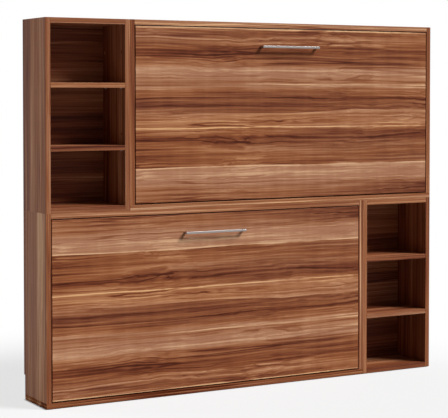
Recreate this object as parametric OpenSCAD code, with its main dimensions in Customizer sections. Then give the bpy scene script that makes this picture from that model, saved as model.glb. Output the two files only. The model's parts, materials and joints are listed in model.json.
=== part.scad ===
// Bunk wall bed: two side-folding single beds in stacked cabinets, each with an open shelf unit
// beside it. +X to the right, the fronts face -Y, +Z up. The origin is on the floor, at the middle
// of the box round the closed bed.

/* [Mattress] */
// Length of each mattress, along the wall
mattress_l = 2000; // [1800:10:2400]
// Width of each mattress
mattress_w = 900; // [740:10:1100]
// Thickness of each mattress
mattress_t = 140; // [100:5:170]

/* [Cabinet] */
// Thickness of the cabinet panels
board_t = 30; // [22:1:38]
// Dark gap all round each bed front
front_gap = 4; // [3.5:0.5:6]
// Free room at each end of the mattress, for the pivots and gas struts
end_gap = 30; // [28:1:45]
// Free room behind the closed mattress
rear_room = 94; // [80:1:160]
// From the lower edge of the bed front to the mattress
lower_margin = 35; // [25:1:60]
// From the mattress to the upper edge of the bed front
upper_margin = 82; // [60:1:120]
// Thickness of the rails that tie the cabinet's back
back_rail_t = 30; // [18:1:38]
// Height of those rails
back_rail_h = 110; // [80:5:160]
// Depth of the skirting board cut-out
skirting_d = 15; // [8:1:20]
// Height of the skirting board cut-out
skirting_h = 140; // [60:5:160]
// Height of the glides under the cabinets
glide_h = 3; // [2:0.5:8]

/* [Shelf units] */
// Width of each shelf unit
shelf_unit_w = 515; // [350:5:800]
// Thickness of the shelves
shelf_t = 28; // [18:1:34]
// Clear height of the top compartment
top_compartment_h = 330; // [220:5:360]
// Clear height of the middle compartment
middle_compartment_h = 325; // [220:5:330]
// Thickness of the back panel
back_panel_t = 12; // [6:1:16]
// How far the back panel lies in front of the rear edge
back_recess = 23; // [16:1:60]
// Depth of the groove that holds the back panel
groove_d = 6; // [4:1:10]

/* [Bed] */
// Thickness of the bed front
front_t = 20; // [16:1:22]
// Height of the pivot above the lower edge of the bed front
pivot_h = 205; // [195:1:230]
// Distance of the pivot behind the front plane
pivot_back = 30; // [29:0.5:32]
// Width of the frame tubes
tube_w = 30; // [25:1:40]
// Depth of the frame tubes
tube_d = 40; // [35:1:45]
// Wall of the frame tubes
tube_wall = 2; // [1.5:0.5:3]
// Width of a slat
slat_w = 68; // [40:1:80]
// Thickness of a slat
slat_t = 8; // [6:0.5:12]
// Pitch of the slats
slat_pitch = 150; // [100:5:200]
// Thickness of the arm plates at the ends of the frame
arm_t = 8; // [6:0.5:10]
// Radius of the pivot bolts
pivot_r = 6; // [5:0.5:7]

/* [Handle] */
// Length of the handle bar
handle_l = 400; // [160:10:800]
// Height and post width of the handle bar
handle_h = 13; // [10:1:20]
// Thickness of the handle bar
handle_t = 8; // [6:1:12]
// How far the handle stands out from the bed front
handle_out = 35; // [28:1:50]
// From the cabinet's top to the middle of the handle
handle_drop = 143; // [125:1:300]

/* [Gas struts] */
// Radius at which the strut holds the bed, about the pivot
strut_r = 70; // [60:1:80]
// Direction of that point below the horizontal, with the bed closed
strut_angle = 60; // [50:1:65]
// Distance of the strut's cabinet stud behind the front plane
stud_back = 130; // [110:1:160]
// Height of the stud above the pivot
stud_up = 401; // [360:1:440]
// Radius of the strut's cylinder
cylinder_r = 9; // [7.5:0.5:9]
// Radius of the strut's rod
rod_r = 4; // [3:0.5:5]

/* [Guard rail] */
// Height of the upper bed's guard rail
guard_h = 250; // [180:5:300]
// Length of the guard rail
guard_l = 1550; // [1200:10:1700]
// Radius of the guard rail's pivot tube and top tube
guard_r = 8; // [6:0.5:10]
// Radius of the guard rail's middle bars
guard_bar_r = 5; // [4:0.5:8]
// Number of posts in the guard rail
guard_posts = 4; // [3:1:6]

/* [Hidden] */

$fn = 40;
EPS = 0.01;

// Colours
walnut = [0.59, 0.39, 0.28];
walnut_dark = [0.41, 0.26, 0.19];
beech = [0.80, 0.66, 0.47];
steel = [0.72, 0.72, 0.72];
frame_grey = [0.42, 0.43, 0.45];
black = [0.10, 0.10, 0.11];
ticking = [0.93, 0.92, 0.88];
strap_grey = [0.35, 0.35, 0.37];

// Clearances
seat_gap = 0.3;
shelf_gap = 0.5;
run_gap = 0.05;

// How far a cut runs past the face that it opens, and a shape into the one that it joins
cut_over = 1;
root = 1;

// Bed cabinet, in its own frame: x from its middle, y from the front plane, z from its underside
front_z = board_t + front_gap;
front_h = lower_margin + mattress_w + upper_margin;
module_h = front_z + front_h + front_gap + board_t;
inner_w = mattress_l + 2 * end_gap;
bed_cabinet_w = inner_w + 2 * board_t;
side_x = inner_w / 2;
front_w = inner_w - 2 * front_gap;
top_z = module_h - board_t;

// Layers of the bed, from the front plane backwards
holder_base = 3;
holder_lip = 8;
holder_wall = 3;
tube_y = front_t;
holder_y = tube_y + tube_d;
slat_y = holder_y + holder_base;
mattress_y = slat_y + slat_t + seat_gap;
mattress_back = mattress_y + mattress_t;
cabinet_d = mattress_back - seat_gap + rear_room + back_rail_t;
mattress_z = front_z + lower_margin;

// Frame of the bed
frame_x = mattress_l / 2;
lip_t = 3;
lip_y = 110;
frame_z0 = mattress_z - seat_gap - lip_t;
frame_z1 = mattress_z + mattress_w + seat_gap + lip_t;
rail_l = mattress_l - 2 * tube_w;

// Pivot, stop and strut
pivot_z = front_z + pivot_h;
pivot_clear = 1;
bush_t = 2;
flange_r = pivot_r + 3.5;
head_t = 6;
bolt_head_r = pivot_r + 3.4;
plate_t = 3;
arm_reach = 60;
arm_front = 10;
arm_top = 45;
arm_chamfer = 15;
stop_r = 8;
sleeve_r = 12;
stop_arm = 150;
stop_y = pivot_back + stop_arm;
stop_z = pivot_z + arm_reach + sleeve_r + seat_gap;
strut_x = frame_x + end_gap / 2;
strut_y = pivot_back + strut_r * cos(strut_angle);
strut_z = pivot_z - strut_r * sin(strut_angle);
open_strut_y = pivot_back + strut_r * sin(strut_angle);
open_strut_z = pivot_z + strut_r * cos(strut_angle);
stud_z = pivot_z + stud_up;
closed_l = norm([stud_back - strut_y, stud_z - strut_z]);
open_l = norm([stud_back - open_strut_y, stud_z - open_strut_z]);
stroke = closed_l - open_l;
strut_tilt = atan2(stud_back - strut_y, stud_z - strut_z);
stud_r = 4;
eye_r = 10;
eye_t = 10;
eye_gap = 1;
cylinder_top = 14;
cylinder_spare = 180;
cylinder_l = stroke + cylinder_spare;
cylinder_end = cylinder_top + cylinder_l;
cylinder_wall = 1.5;
guide_t = 12;
piston_t = 12;
piston_gap = 4;
piston_z = guide_t + piston_gap - cylinder_end;
rod_z = eye_r - root - closed_l;
strut_bolt_head = 3;

// Slats
slat_count = 2 * floor((rail_l / 2 - slat_w / 2 - 2 * holder_wall) / slat_pitch) + 1;
slat_x0 = -(slat_count - 1) / 2 * slat_pitch;
holder_l = 34;
holder_end = 3;
slat_z0 = frame_z0 + lip_t + holder_end;
slat_z1 = frame_z1 - lip_t - holder_end;

// Straps round the mattress
strap_w = 50;
strap_t = 2.4;
strap_y = 30;
strap_inset = 390;
strap_clear = 5;

// Guard rail, on the free edge of the upper bed
ring_r = guard_r + 4;
ring_w = 40;
bracket_t = 5;
bracket_y = 24;
guard_clear = 5;
guard_inset = 50;
guard_y = mattress_back + seat_gap + strap_t + guard_r + guard_clear;
guard_z = frame_z1 + ring_r;
guard_x0 = -mattress_l / 2 + guard_inset;
guard_x1 = guard_x0 + guard_l;
guard_post_r = 6;
guard_bars = 2;
post_inset = 14;
post_pitch = (guard_l - 2 * post_inset) / (guard_posts - 1);
ring_inset = 90;
ring_x = [guard_x0 + ring_inset, (guard_x0 + guard_x1) / 2, guard_x1 - ring_inset];
strap_x = [guard_x0 + strap_inset, ring_x[2] + (ring_w + strap_w) / 2 + strap_clear];

// Handle
handle_z = module_h - handle_drop;
handle_post_x = handle_l / 2 - handle_h / 2;
handle_screw_r = 2;
handle_bore = 12;
counterbore_r = 4.5;
counterbore_d = 4;

// Screws from the frame into the bed front
panel_screw_r = 2.5;
panel_screw_head_r = 5;
panel_screw_head_t = 2.5;
panel_screw_bite = 13;
panel_screw_x = [for (i = [0 : 2 : (slat_count - 3) / 2]) (i + 0.5) * slat_pitch];
rail_mid_z = [frame_z0 + tube_w / 2, frame_z1 - tube_w / 2];
arm_bolt_r = 4;
arm_bolt_head_r = 7;
arm_bolt_head_t = 3;
arm_bolt_inset = 16;
arm_bolt_pitch = 36;
arm_bolt_z = [pivot_z + arm_top - arm_bolt_inset, frame_z0 + arm_bolt_inset,
    frame_z0 + arm_bolt_inset + arm_bolt_pitch];

// Shelf unit, in its own frame
shelf_in = shelf_unit_w / 2 - board_t;
back_y = cabinet_d - back_recess - back_panel_t;
shelf_1_z = top_z - top_compartment_h - shelf_t;
shelf_2_z = shelf_1_z - middle_compartment_h - shelf_t;
pin_r = 2.5;
pin_l = 8;
pin_lug = [10, 9, 6];
pin_inset = 45;
pin_y = [pin_inset, back_y - pin_inset];

// Fittings between the boards
fitting_front = 60;
fitting_back = 45;
fitting_y = [fitting_front, back_y - fitting_back];
cam_r = 7.5;
cam_x = 34;
cam_bolt_r = 3.5;
cam_floor = 0.5;
cam_d = board_t / 2 + cam_bolt_r + cam_floor;
cam_bolt_bite = 11;
base_screw_r = 3.5;
base_screw_l = 60;
base_head_r = 5;
base_head_t = 3;
bolt_r = 3;
bolt_cap_r = 7.5;
bolt_cap_t = 3;
bolt_front = 45;
bolt_back = 60;
bolt_y = [bolt_front, cabinet_d - bolt_back];
bolt_over_shelf = [62, 175];
bolt_z = [shelf_2_z + shelf_t + bolt_over_shelf[0], shelf_1_z + shelf_t + bolt_over_shelf[1]];
stack_bolt_inset = 190;
glide_r = 15;
glide_inset = 40;

// Rails at the cabinet's back, and their wall fixings
rail_over_skirting = 10;
low_rail_z = skirting_h + rail_over_skirting;
high_rail_z = top_z - back_rail_h;
back_rail_y = cabinet_d - back_rail_t;
wall_hole_r = 4;
wall_hole_inset = 230;
wall_hole_x = side_x - wall_hole_inset;
wall_plate = [60, 4, 60];
wall_hole_z = [low_rail_z + back_rail_h / 2, high_rail_z + back_rail_h / 2];

// Plates on the cabinet's sides, their screws, and the buffers that the closed front meets
plate_screw_r = 2.2;
plate_head_r = 4.5;
plate_screw_l = 22;
plate_screw_inset = 12;
plate_margin = [16, 40, 22, 30];
pivot_plate_y = [pivot_back - plate_margin[0], stop_y + plate_margin[2]];
pivot_plate_z = [pivot_z - plate_margin[1], stop_z + plate_margin[3]];
bracket_half = [16, 32];
bracket_screw_rise = 22;
stud_head_t = 2.5;
buffer = [24, 14, 16];
buffer_inset = 330;

// Places of the four cabinets
overall_w = bed_cabinet_w + shelf_unit_w;
front_y = (handle_out - cabinet_d) / 2;
lower_z = glide_h;
upper_z = glide_h + module_h;
bed_shift = shelf_unit_w / 2;
shelf_shift = (overall_w - shelf_unit_w) / 2;

module at_lower_bed() translate([-bed_shift, front_y, lower_z]) children();
module at_upper_bed() translate([bed_shift, front_y, upper_z]) children();
module at_lower_shelf() translate([shelf_shift, front_y, lower_z]) children();
module at_upper_shelf() translate([-shelf_shift, front_y, upper_z]) children();
module at_both_beds() {
    at_lower_bed() children();
    at_upper_bed() children();
}
module at_both_shelves() {
    at_lower_shelf() children();
    at_upper_shelf() children();
}
// Draws its children as they are, and again mirrored left to right
module both_ends() {
    children();
    mirror([1, 0, 0]) children();
}

// A box between two corners
module block(a, b) translate(a) cube(b - a);
// A rod along X from x0 to x1
module rod_x(x0, x1, r) translate([x0, 0, 0]) rotate([0, 90, 0]) cylinder(h = x1 - x0, r = r);
// A rod along Y from y0 to y1
module rod_y(y0, y1, r) translate([0, y0, 0]) rotate([-90, 0, 0]) cylinder(h = y1 - y0, r = r);

// ---- Fittings, each also cut from the boards that it sits in ----

// Cam locks near both ends of a board, and the bolts that they draw in from the sides beside it
// (x0 is the board's end, z0 its outer face and up that face's normal; the bores meet the cams)
module cam_fitting(x0, z0, up, bores) both_ends() for (y = fitting_y) translate([x0, y, z0]) {
    translate([-cam_x, 0, up > 0 ? -cam_d : 0]) cylinder(h = cam_d, r = cam_r);
    translate([0, 0, -up * board_t / 2])
        rod_x(bores ? -cam_x : cam_r - cam_x + seat_gap, cam_bolt_bite, cam_bolt_r);
}
module bed_cams(bores = true) cam_fitting(side_x, module_h, 1, bores);
module shelf_cams(bores = true) {
    cam_fitting(shelf_in, module_h, 1, bores);
    cam_fitting(shelf_in, 0, -1, bores);
}
// Screws up through the bottom of a bed cabinet into its sides
module base_screw_set() both_ends() for (y = fitting_y) translate([side_x + board_t / 2, y, 0]) {
    cylinder(h = base_head_t, r = base_head_r);
    cylinder(h = base_screw_l, r = base_screw_r);
}
// Bolts through the two sides where a bed cabinet meets its shelf unit
module side_bolts() for (y = bolt_y, z = bolt_z) translate([0, y, z]) {
    rod_x(-board_t, board_t, bolt_r);
    rod_x(-board_t, -board_t + bolt_cap_t, bolt_cap_r);
    rod_x(board_t - bolt_cap_t, board_t, bolt_cap_r);
}
// Bolts down through the upper bed cabinet's bottom into the lower one's top
module stack_bolts() {
    far_x = overall_w / 2 - shelf_unit_w - stack_bolt_inset;
    for (x = [-far_x, 0, far_x], y = fitting_y) translate([x, front_y + y, upper_z]) {
        translate([0, 0, -board_t]) cylinder(h = 2 * board_t, r = bolt_r);
        translate([0, 0, -board_t]) cylinder(h = bolt_cap_t, r = bolt_cap_r);
        translate([0, 0, board_t - bolt_cap_t]) cylinder(h = bolt_cap_t, r = bolt_cap_r);
    }
}
module all_module_bolts() {
    translate([overall_w / 2 - shelf_unit_w, front_y, lower_z]) side_bolts();
    translate([shelf_unit_w - overall_w / 2, front_y, upper_z]) side_bolts();
    stack_bolts();
}
// Screws through the pivot plates and strut brackets into the cabinet's sides
module plate_screw(y, z) translate([0, y, z]) {
    rod_x(side_x - plate_t, side_x, plate_head_r);
    rod_x(side_x - EPS, side_x - plate_t + plate_screw_l, plate_screw_r);
}
module plate_screw_set() both_ends() {
    y0 = pivot_plate_y[0] + plate_screw_inset;
    y1 = pivot_plate_y[1] - plate_screw_inset;
    for (y = [y0, (y0 + y1) / 2, y1]) {
        plate_screw(y, pivot_plate_z[0] + plate_screw_inset);
        plate_screw(y, pivot_plate_z[1] - plate_screw_inset);
    }
    for (dz = [-bracket_screw_rise, bracket_screw_rise]) plate_screw(stud_back, stud_z + dz);
}

// ---- Boards of a bed cabinet ----

module bed_side(dir, skirting) difference() {
    mirror([dir < 0 ? 1 : 0, 0, 0])
        block([side_x, 0, board_t], [side_x + board_t, cabinet_d, module_h]);
    if (skirting) skirting_cut();
    bed_cams();
    base_screw_set();
    plate_screw_set();
}
module skirting_cut() block([-overall_w, cabinet_d - skirting_d, -cut_over],
    [overall_w, cabinet_d + cut_over, skirting_h]);
module bed_top() difference() {
    block([-side_x, 0, top_z], [side_x, cabinet_d, module_h]);
    bed_cams();
}
module bed_bottom(skirting) difference() {
    block([-side_x - board_t, 0, 0], [side_x + board_t, cabinet_d, board_t]);
    if (skirting) skirting_cut();
    base_screw_set();
}
module bed_back_rails() for (z = [low_rail_z, high_rail_z]) difference() {
    block([-side_x, back_rail_y, z], [side_x, cabinet_d, z + back_rail_h]);
    for (x = [-wall_hole_x, wall_hole_x]) translate([x, 0, z + back_rail_h / 2])
        rod_y(back_rail_y - cut_over, cabinet_d + cut_over, wall_hole_r);
}
module bed_wall_plates() for (x = [-wall_hole_x, wall_hole_x], z = wall_hole_z)
    translate([x, back_rail_y - wall_plate[1], z]) difference() {
        translate([-wall_plate[0] / 2, 0, -wall_plate[2] / 2]) cube(wall_plate);
        rod_y(-cut_over, wall_plate[1] + cut_over, wall_hole_r);
    }

module lower_bed_side_left() color(walnut) at_lower_bed() bed_side(-1, true);
module lower_bed_side_right() color(walnut) difference() {
    at_lower_bed() bed_side(1, true);
    all_module_bolts();
}
module lower_bed_top() color(walnut) difference() {
    at_lower_bed() bed_top();
    all_module_bolts();
}
module lower_bed_bottom() color(walnut) at_lower_bed() bed_bottom(true);
module upper_bed_side_left() color(walnut) difference() {
    at_upper_bed() bed_side(-1, false);
    all_module_bolts();
}
module upper_bed_side_right() color(walnut) at_upper_bed() bed_side(1, false);
module upper_bed_top() color(walnut) at_upper_bed() bed_top();
module upper_bed_bottom() color(walnut) difference() {
    at_upper_bed() bed_bottom(false);
    all_module_bolts();
}
module back_rails() color(walnut_dark) at_both_beds() bed_back_rails();
module wall_plates() color(steel) at_both_beds() bed_wall_plates();

// ---- Boards of a shelf unit ----

module shelf_back() block([-shelf_in - groove_d, back_y, board_t - groove_d],
    [shelf_in + groove_d, back_y + back_panel_t, top_z + groove_d]);
module shelf_pin_set() both_ends() for (z = [shelf_1_z, shelf_2_z], y = pin_y) {
    translate([0, y, z - pin_lug[2] / 2]) rod_x(shelf_in - EPS, shelf_in + pin_l, pin_r);
    translate([shelf_in - pin_lug[0], y - pin_lug[1] / 2, z - pin_lug[2]]) cube(pin_lug);
}
module shelf_side(dir, skirting) difference() {
    mirror([dir < 0 ? 1 : 0, 0, 0])
        block([shelf_in, 0, 0], [shelf_in + board_t, cabinet_d, module_h]);
    if (skirting) skirting_cut();
    shelf_back();
    shelf_cams();
    shelf_pin_set();
}
module shelf_top() difference() {
    block([-shelf_in, 0, top_z], [shelf_in, cabinet_d, module_h]);
    shelf_back();
    shelf_cams();
}
module shelf_bottom(skirting) difference() {
    block([-shelf_in, 0, 0], [shelf_in, cabinet_d, board_t]);
    if (skirting) skirting_cut();
    shelf_back();
    shelf_cams();
}
module shelf_pair() for (z = [shelf_1_z, shelf_2_z])
    block([-shelf_in + shelf_gap, 0, z], [shelf_in - shelf_gap, back_y - shelf_gap, z + shelf_t]);

module lower_shelf_side_left() color(walnut) difference() {
    at_lower_shelf() shelf_side(-1, true);
    all_module_bolts();
}
module lower_shelf_side_right() color(walnut) at_lower_shelf() shelf_side(1, true);
module lower_shelf_top() color(walnut) at_lower_shelf() shelf_top();
module lower_shelf_bottom() color(walnut) at_lower_shelf() shelf_bottom(true);
module lower_shelf_back() color(walnut_dark) at_lower_shelf() shelf_back();
module lower_shelves() color(walnut) at_lower_shelf() shelf_pair();
module upper_shelf_side_left() color(walnut) at_upper_shelf() shelf_side(-1, false);
module upper_shelf_side_right() color(walnut) difference() {
    at_upper_shelf() shelf_side(1, false);
    all_module_bolts();
}
module upper_shelf_top() color(walnut) at_upper_shelf() shelf_top();
module upper_shelf_bottom() color(walnut) at_upper_shelf() shelf_bottom(false);
module upper_shelf_back() color(walnut_dark) at_upper_shelf() shelf_back();
module upper_shelves() color(walnut) at_upper_shelf() shelf_pair();

// ---- Fittings as pieces ----

module shelf_pins() color(steel) at_both_shelves() shelf_pin_set();
module cam_fittings() color(steel) {
    at_both_beds() bed_cams(false);
    at_both_shelves() shelf_cams(false);
}
module cabinet_screws() color(steel) at_both_beds() {
    base_screw_set();
    plate_screw_set();
}
module module_bolts() color(steel) all_module_bolts();
module floor_glides() color(black) {
    meet_x = overall_w / 2 - shelf_unit_w;
    glide_x = [-overall_w / 2 + board_t, -overall_w / 4, 0, meet_x - glide_r,
        meet_x + board_t, overall_w / 2 - board_t];
    for (x = glide_x, y = [glide_inset, cabinet_d - skirting_d - glide_inset])
        translate([x, front_y + y, 0]) cylinder(h = glide_h, r = glide_r);
}

// ---- Pivots and stops on the cabinet ----

module plate_bore(r) rod_x(side_x - plate_t - cut_over, side_x + cut_over, r);
module pivot_plate() both_ends() difference() {
    block([side_x - plate_t, pivot_plate_y[0], pivot_plate_z[0]],
        [side_x, pivot_plate_y[1], pivot_plate_z[1]]);
    translate([0, pivot_back, pivot_z]) plate_bore(pivot_r);
    translate([0, stop_y, stop_z]) plate_bore(stop_r);
    plate_screw_set();
}
module pivot_bolt() both_ends() translate([0, pivot_back, pivot_z]) {
    rod_x(frame_x - tube_w - pivot_clear, side_x, pivot_r);
    rod_x(frame_x - tube_w - pivot_clear - head_t, frame_x - tube_w - pivot_clear, bolt_head_r);
}
module stop_pin() both_ends() translate([0, stop_y, stop_z])
    rod_x(frame_x + pivot_clear, side_x, stop_r);
module stop_sleeve() both_ends() translate([0, stop_y, stop_z]) difference() {
    rod_x(frame_x + pivot_clear, side_x - plate_t, sleeve_r);
    rod_x(frame_x, side_x, stop_r);
}
module strut_bracket() both_ends() {
    difference() {
        block([side_x - plate_t, stud_back - bracket_half[0], stud_z - bracket_half[1]],
            [side_x, stud_back + bracket_half[0], stud_z + bracket_half[1]]);
        plate_screw_set();
    }
    stud_x = strut_x - eye_t / 2 - eye_gap;
    translate([0, stud_back, stud_z]) {
        rod_x(stud_x, side_x - plate_t + EPS, stud_r);
        rod_x(stud_x - stud_head_t, stud_x + EPS, stud_r + stud_head_t);
    }
}
module front_buffer_set() {
    far_x = side_x - buffer_inset;
    for (x = [-far_x, 0, far_x])
        translate([x - buffer[0] / 2, front_t + seat_gap, top_z - buffer[2]]) cube(buffer);
}

module pivot_plates() color(steel) at_both_beds() pivot_plate();
module pivot_bolts() color(steel) at_both_beds() pivot_bolt();
module stop_pins() color(steel) at_both_beds() stop_pin();
module rubber_stops() color(black) at_both_beds() {
    stop_sleeve();
    front_buffer_set();
}
module strut_brackets() color(steel) at_both_beds() strut_bracket();

// ---- The bed that folds ----

module front_panel() difference() {
    block([-front_w / 2, 0, front_z], [front_w / 2, front_t, front_z + front_h]);
    handle_screw_set();
    panel_screw_set();
}
module handle() difference() {
    union() {
        block([-handle_l / 2, -handle_out, handle_z - handle_h / 2],
            [handle_l / 2, -handle_out + handle_t, handle_z + handle_h / 2]);
        both_ends() block([handle_post_x - handle_h / 2, -handle_out, handle_z - handle_h / 2],
            [handle_post_x + handle_h / 2, 0, handle_z + handle_h / 2]);
    }
    handle_screw_set();
}
// Screws from behind the bed front into the handle's posts, their heads counterbored
module handle_screw_set() both_ends() translate([handle_post_x, 0, handle_z]) {
    rod_y(-handle_bore, front_t - counterbore_d + EPS, handle_screw_r);
    rod_y(front_t - counterbore_d, front_t, counterbore_r);
}
// Screws through both walls of the long tubes into the bed front
module panel_screw_set() both_ends() for (x = panel_screw_x, z = rail_mid_z) translate([x, 0, z]) {
    rod_y(front_t - panel_screw_bite, holder_y + EPS, panel_screw_r);
    rod_y(holder_y, holder_y + panel_screw_head_t, panel_screw_head_r);
}
module long_rail(z0, lip_z) difference() {
    union() {
        block([-rail_l / 2, tube_y, z0], [rail_l / 2, holder_y, z0 + tube_w]);
        block([-rail_l / 2, holder_y - EPS, lip_z], [rail_l / 2, lip_y, lip_z + lip_t]);
    }
    block([-rail_l, tube_y + tube_wall, z0 + tube_wall],
        [rail_l, holder_y - tube_wall, z0 + tube_w - tube_wall]);
    panel_screw_set();
}
module long_rails() {
    long_rail(frame_z0, frame_z0);
    long_rail(frame_z1 - tube_w, frame_z1 - lip_t);
}
module bush_bore() translate([0, pivot_back, pivot_z])
    rod_x(frame_x - tube_w - cut_over, frame_x + arm_t + cut_over, pivot_r + bush_t);
module end_rails() both_ends() difference() {
    block([frame_x - tube_w, tube_y, frame_z0], [frame_x, holder_y, frame_z1]);
    block([frame_x - tube_w + tube_wall, tube_y + tube_wall, frame_z0 - cut_over],
        [frame_x - tube_wall, holder_y - tube_wall, frame_z1 + cut_over]);
    bush_bore();
    arm_bolt_set();
}
module arm_plates() both_ends() difference() {
    translate([frame_x, 0, 0]) rotate([90, 0, 90]) linear_extrude(height = arm_t) polygon([
        [tube_y, frame_z0 + arm_chamfer],
        [tube_y + arm_chamfer, frame_z0],
        [pivot_back + arm_reach, frame_z0],
        [pivot_back + arm_reach, pivot_z - arm_front],
        [holder_y - arm_chamfer / 3, pivot_z + arm_top],
        [tube_y, pivot_z + arm_top],
    ]);
    bush_bore();
    arm_bolt_set();
}
// Bolts that hold each arm plate to its end tube
module arm_bolt_set() for (z = arm_bolt_z) translate([0, tube_y + tube_d / 2, z]) {
    rod_x(frame_x - tube_w - arm_bolt_head_t, frame_x + arm_t + EPS, arm_bolt_r);
    rod_x(frame_x - tube_w - arm_bolt_head_t, frame_x - tube_w, arm_bolt_head_r);
    rod_x(frame_x + arm_t, frame_x + arm_t + arm_bolt_head_t, arm_bolt_head_r);
}
module pivot_bushes() both_ends() translate([0, pivot_back, pivot_z]) difference() {
    union() {
        rod_x(frame_x - tube_w, frame_x + arm_t + bush_t, pivot_r + bush_t);
        rod_x(frame_x + arm_t, frame_x + arm_t + bush_t, flange_r);
    }
    rod_x(frame_x - tube_w - cut_over, frame_x + arm_t + bush_t + cut_over, pivot_r + run_gap);
}
module slats() for (i = [0 : slat_count - 1]) translate([slat_x0 + i * slat_pitch, slat_y, 0])
    block([-slat_w / 2, 0, slat_z0], [slat_w / 2, slat_t, slat_z1]);
module slat_holder() difference() {
    block([-slat_w / 2 - holder_wall, 0, frame_z0 + lip_t],
        [slat_w / 2 + holder_wall, holder_lip, frame_z0 + lip_t + holder_l]);
    block([-slat_w / 2, holder_base, slat_z0], [slat_w / 2, holder_lip + cut_over, slat_z0 + holder_l]);
}
module slat_holders() for (i = [0 : slat_count - 1])
    translate([slat_x0 + i * slat_pitch, holder_y, 0]) {
        slat_holder();
        translate([0, 0, frame_z0 + frame_z1]) mirror([0, 0, 1]) slat_holder();
    }
module mattress() block([-mattress_l / 2, mattress_y, mattress_z],
    [mattress_l / 2, mattress_back, mattress_z + mattress_w]);
module straps() for (x = strap_x) translate([x - strap_w / 2, 0, 0]) difference() {
    block([0, strap_y, frame_z0 - strap_t],
        [strap_w, mattress_back + seat_gap + strap_t, frame_z1 + strap_t]);
    block([-cut_over, strap_y - cut_over, frame_z0],
        [strap_w + cut_over, mattress_back + seat_gap, frame_z1]);
}
module frame_screws() {
    handle_screw_set();
    panel_screw_set();
    both_ends() arm_bolt_set();
}

module lower_front_panel() color(walnut) at_lower_bed() front_panel();
module lower_handle() color(steel) at_lower_bed() handle();
module lower_long_rails() color(frame_grey) at_lower_bed() long_rails();
module lower_end_rails() color(frame_grey) at_lower_bed() end_rails();
module lower_arm_plates() color(frame_grey) at_lower_bed() arm_plates();
module lower_pivot_bushes() color(black) at_lower_bed() pivot_bushes();
module lower_slats() color(beech) at_lower_bed() slats();
module lower_slat_holders() color(black) at_lower_bed() slat_holders();
module lower_mattress() color(ticking) at_lower_bed() mattress();
module lower_straps() color(strap_grey) at_lower_bed() straps();
module lower_frame_screws() color(steel) at_lower_bed() frame_screws();
module upper_front_panel() color(walnut) at_upper_bed() front_panel();
module upper_handle() color(steel) at_upper_bed() handle();
module upper_long_rails() color(frame_grey) at_upper_bed() long_rails();
module upper_end_rails() color(frame_grey) at_upper_bed() end_rails();
module upper_arm_plates() color(frame_grey) at_upper_bed() arm_plates();
module upper_pivot_bushes() color(black) at_upper_bed() pivot_bushes();
module upper_slats() color(beech) at_upper_bed() slats();
module upper_slat_holders() color(black) at_upper_bed() slat_holders();
module upper_mattress() color(ticking) at_upper_bed() mattress();
module upper_straps() color(strap_grey) at_upper_bed() straps();
module upper_frame_screws() color(steel) at_upper_bed() frame_screws();

// ---- Gas struts, one at each end of each bed ----

// Draws its children at the strut's stud, with the strut hanging along -Z
module at_struts() both_ends()
    translate([strut_x, stud_back, stud_z]) rotate([-strut_tilt, 0, 0]) children();
module strut_eye() rod_x(-eye_t / 2, eye_t / 2, eye_r);
module strut_cylinder_pair() at_struts() difference() {
    union() {
        strut_eye();
        translate([0, 0, -cylinder_top - EPS]) cylinder(h = cylinder_top, r = stud_r);
        translate([0, 0, -cylinder_end]) cylinder(h = cylinder_l, r = cylinder_r);
    }
    rod_x(-eye_t, eye_t, stud_r + run_gap);
    translate([0, 0, guide_t - cylinder_end])
        cylinder(h = cylinder_l - 2 * guide_t, r = cylinder_r - cylinder_wall);
    translate([0, 0, -cylinder_end - cut_over])
        cylinder(h = guide_t + 2 * cut_over, r = rod_r + run_gap);
}
module strut_rod_pair() at_struts() {
    difference() {
        union() {
            translate([0, 0, -closed_l]) strut_eye();
            translate([0, 0, rod_z]) cylinder(h = piston_z + root - rod_z, r = rod_r);
            translate([0, 0, piston_z])
                cylinder(h = piston_t, r = cylinder_r - cylinder_wall - run_gap);
        }
        translate([0, 0, -closed_l]) rod_x(-eye_t, eye_t, stud_r + run_gap);
    }
    translate([0, 0, -closed_l]) {
        rod_x(frame_x + arm_t + seat_gap - strut_x, eye_t / 2 + run_gap + EPS, stud_r);
        rod_x(eye_t / 2 + run_gap, eye_t / 2 + run_gap + strut_bolt_head, stud_r + strut_bolt_head);
    }
}
module lower_strut_cylinders() color(black) at_lower_bed() strut_cylinder_pair();
module lower_strut_rods() color(steel) at_lower_bed() strut_rod_pair();
module upper_strut_cylinders() color(black) at_upper_bed() strut_cylinder_pair();
module upper_strut_rods() color(steel) at_upper_bed() strut_rod_pair();

// ---- Guard rail of the upper bed, folded flat over the mattress while the bed is closed ----

module guard_rail() color(frame_grey) at_upper_bed() translate([0, guard_y, guard_z]) {
    for (i = [0 : guard_bars + 1]) translate([0, 0, -guard_h * i / (guard_bars + 1)])
        rod_x(guard_x0, guard_x1, i % (guard_bars + 1) == 0 ? guard_r : guard_bar_r);
    for (i = [0 : guard_posts - 1]) translate([guard_x0 + post_inset + i * post_pitch, 0, -guard_h])
        cylinder(h = guard_h, r = guard_post_r);
}
module guard_brackets() color(frame_grey) at_upper_bed() for (x = ring_x) difference() {
    union() {
        block([x - ring_w / 2, bracket_y, frame_z1], [x + ring_w / 2, guard_y, frame_z1 + bracket_t]);
        translate([0, guard_y, guard_z]) rod_x(x - ring_w / 2, x + ring_w / 2, ring_r);
    }
    translate([0, guard_y, guard_z]) rod_x(x - ring_w, x + ring_w, guard_r + run_gap);
}

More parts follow.
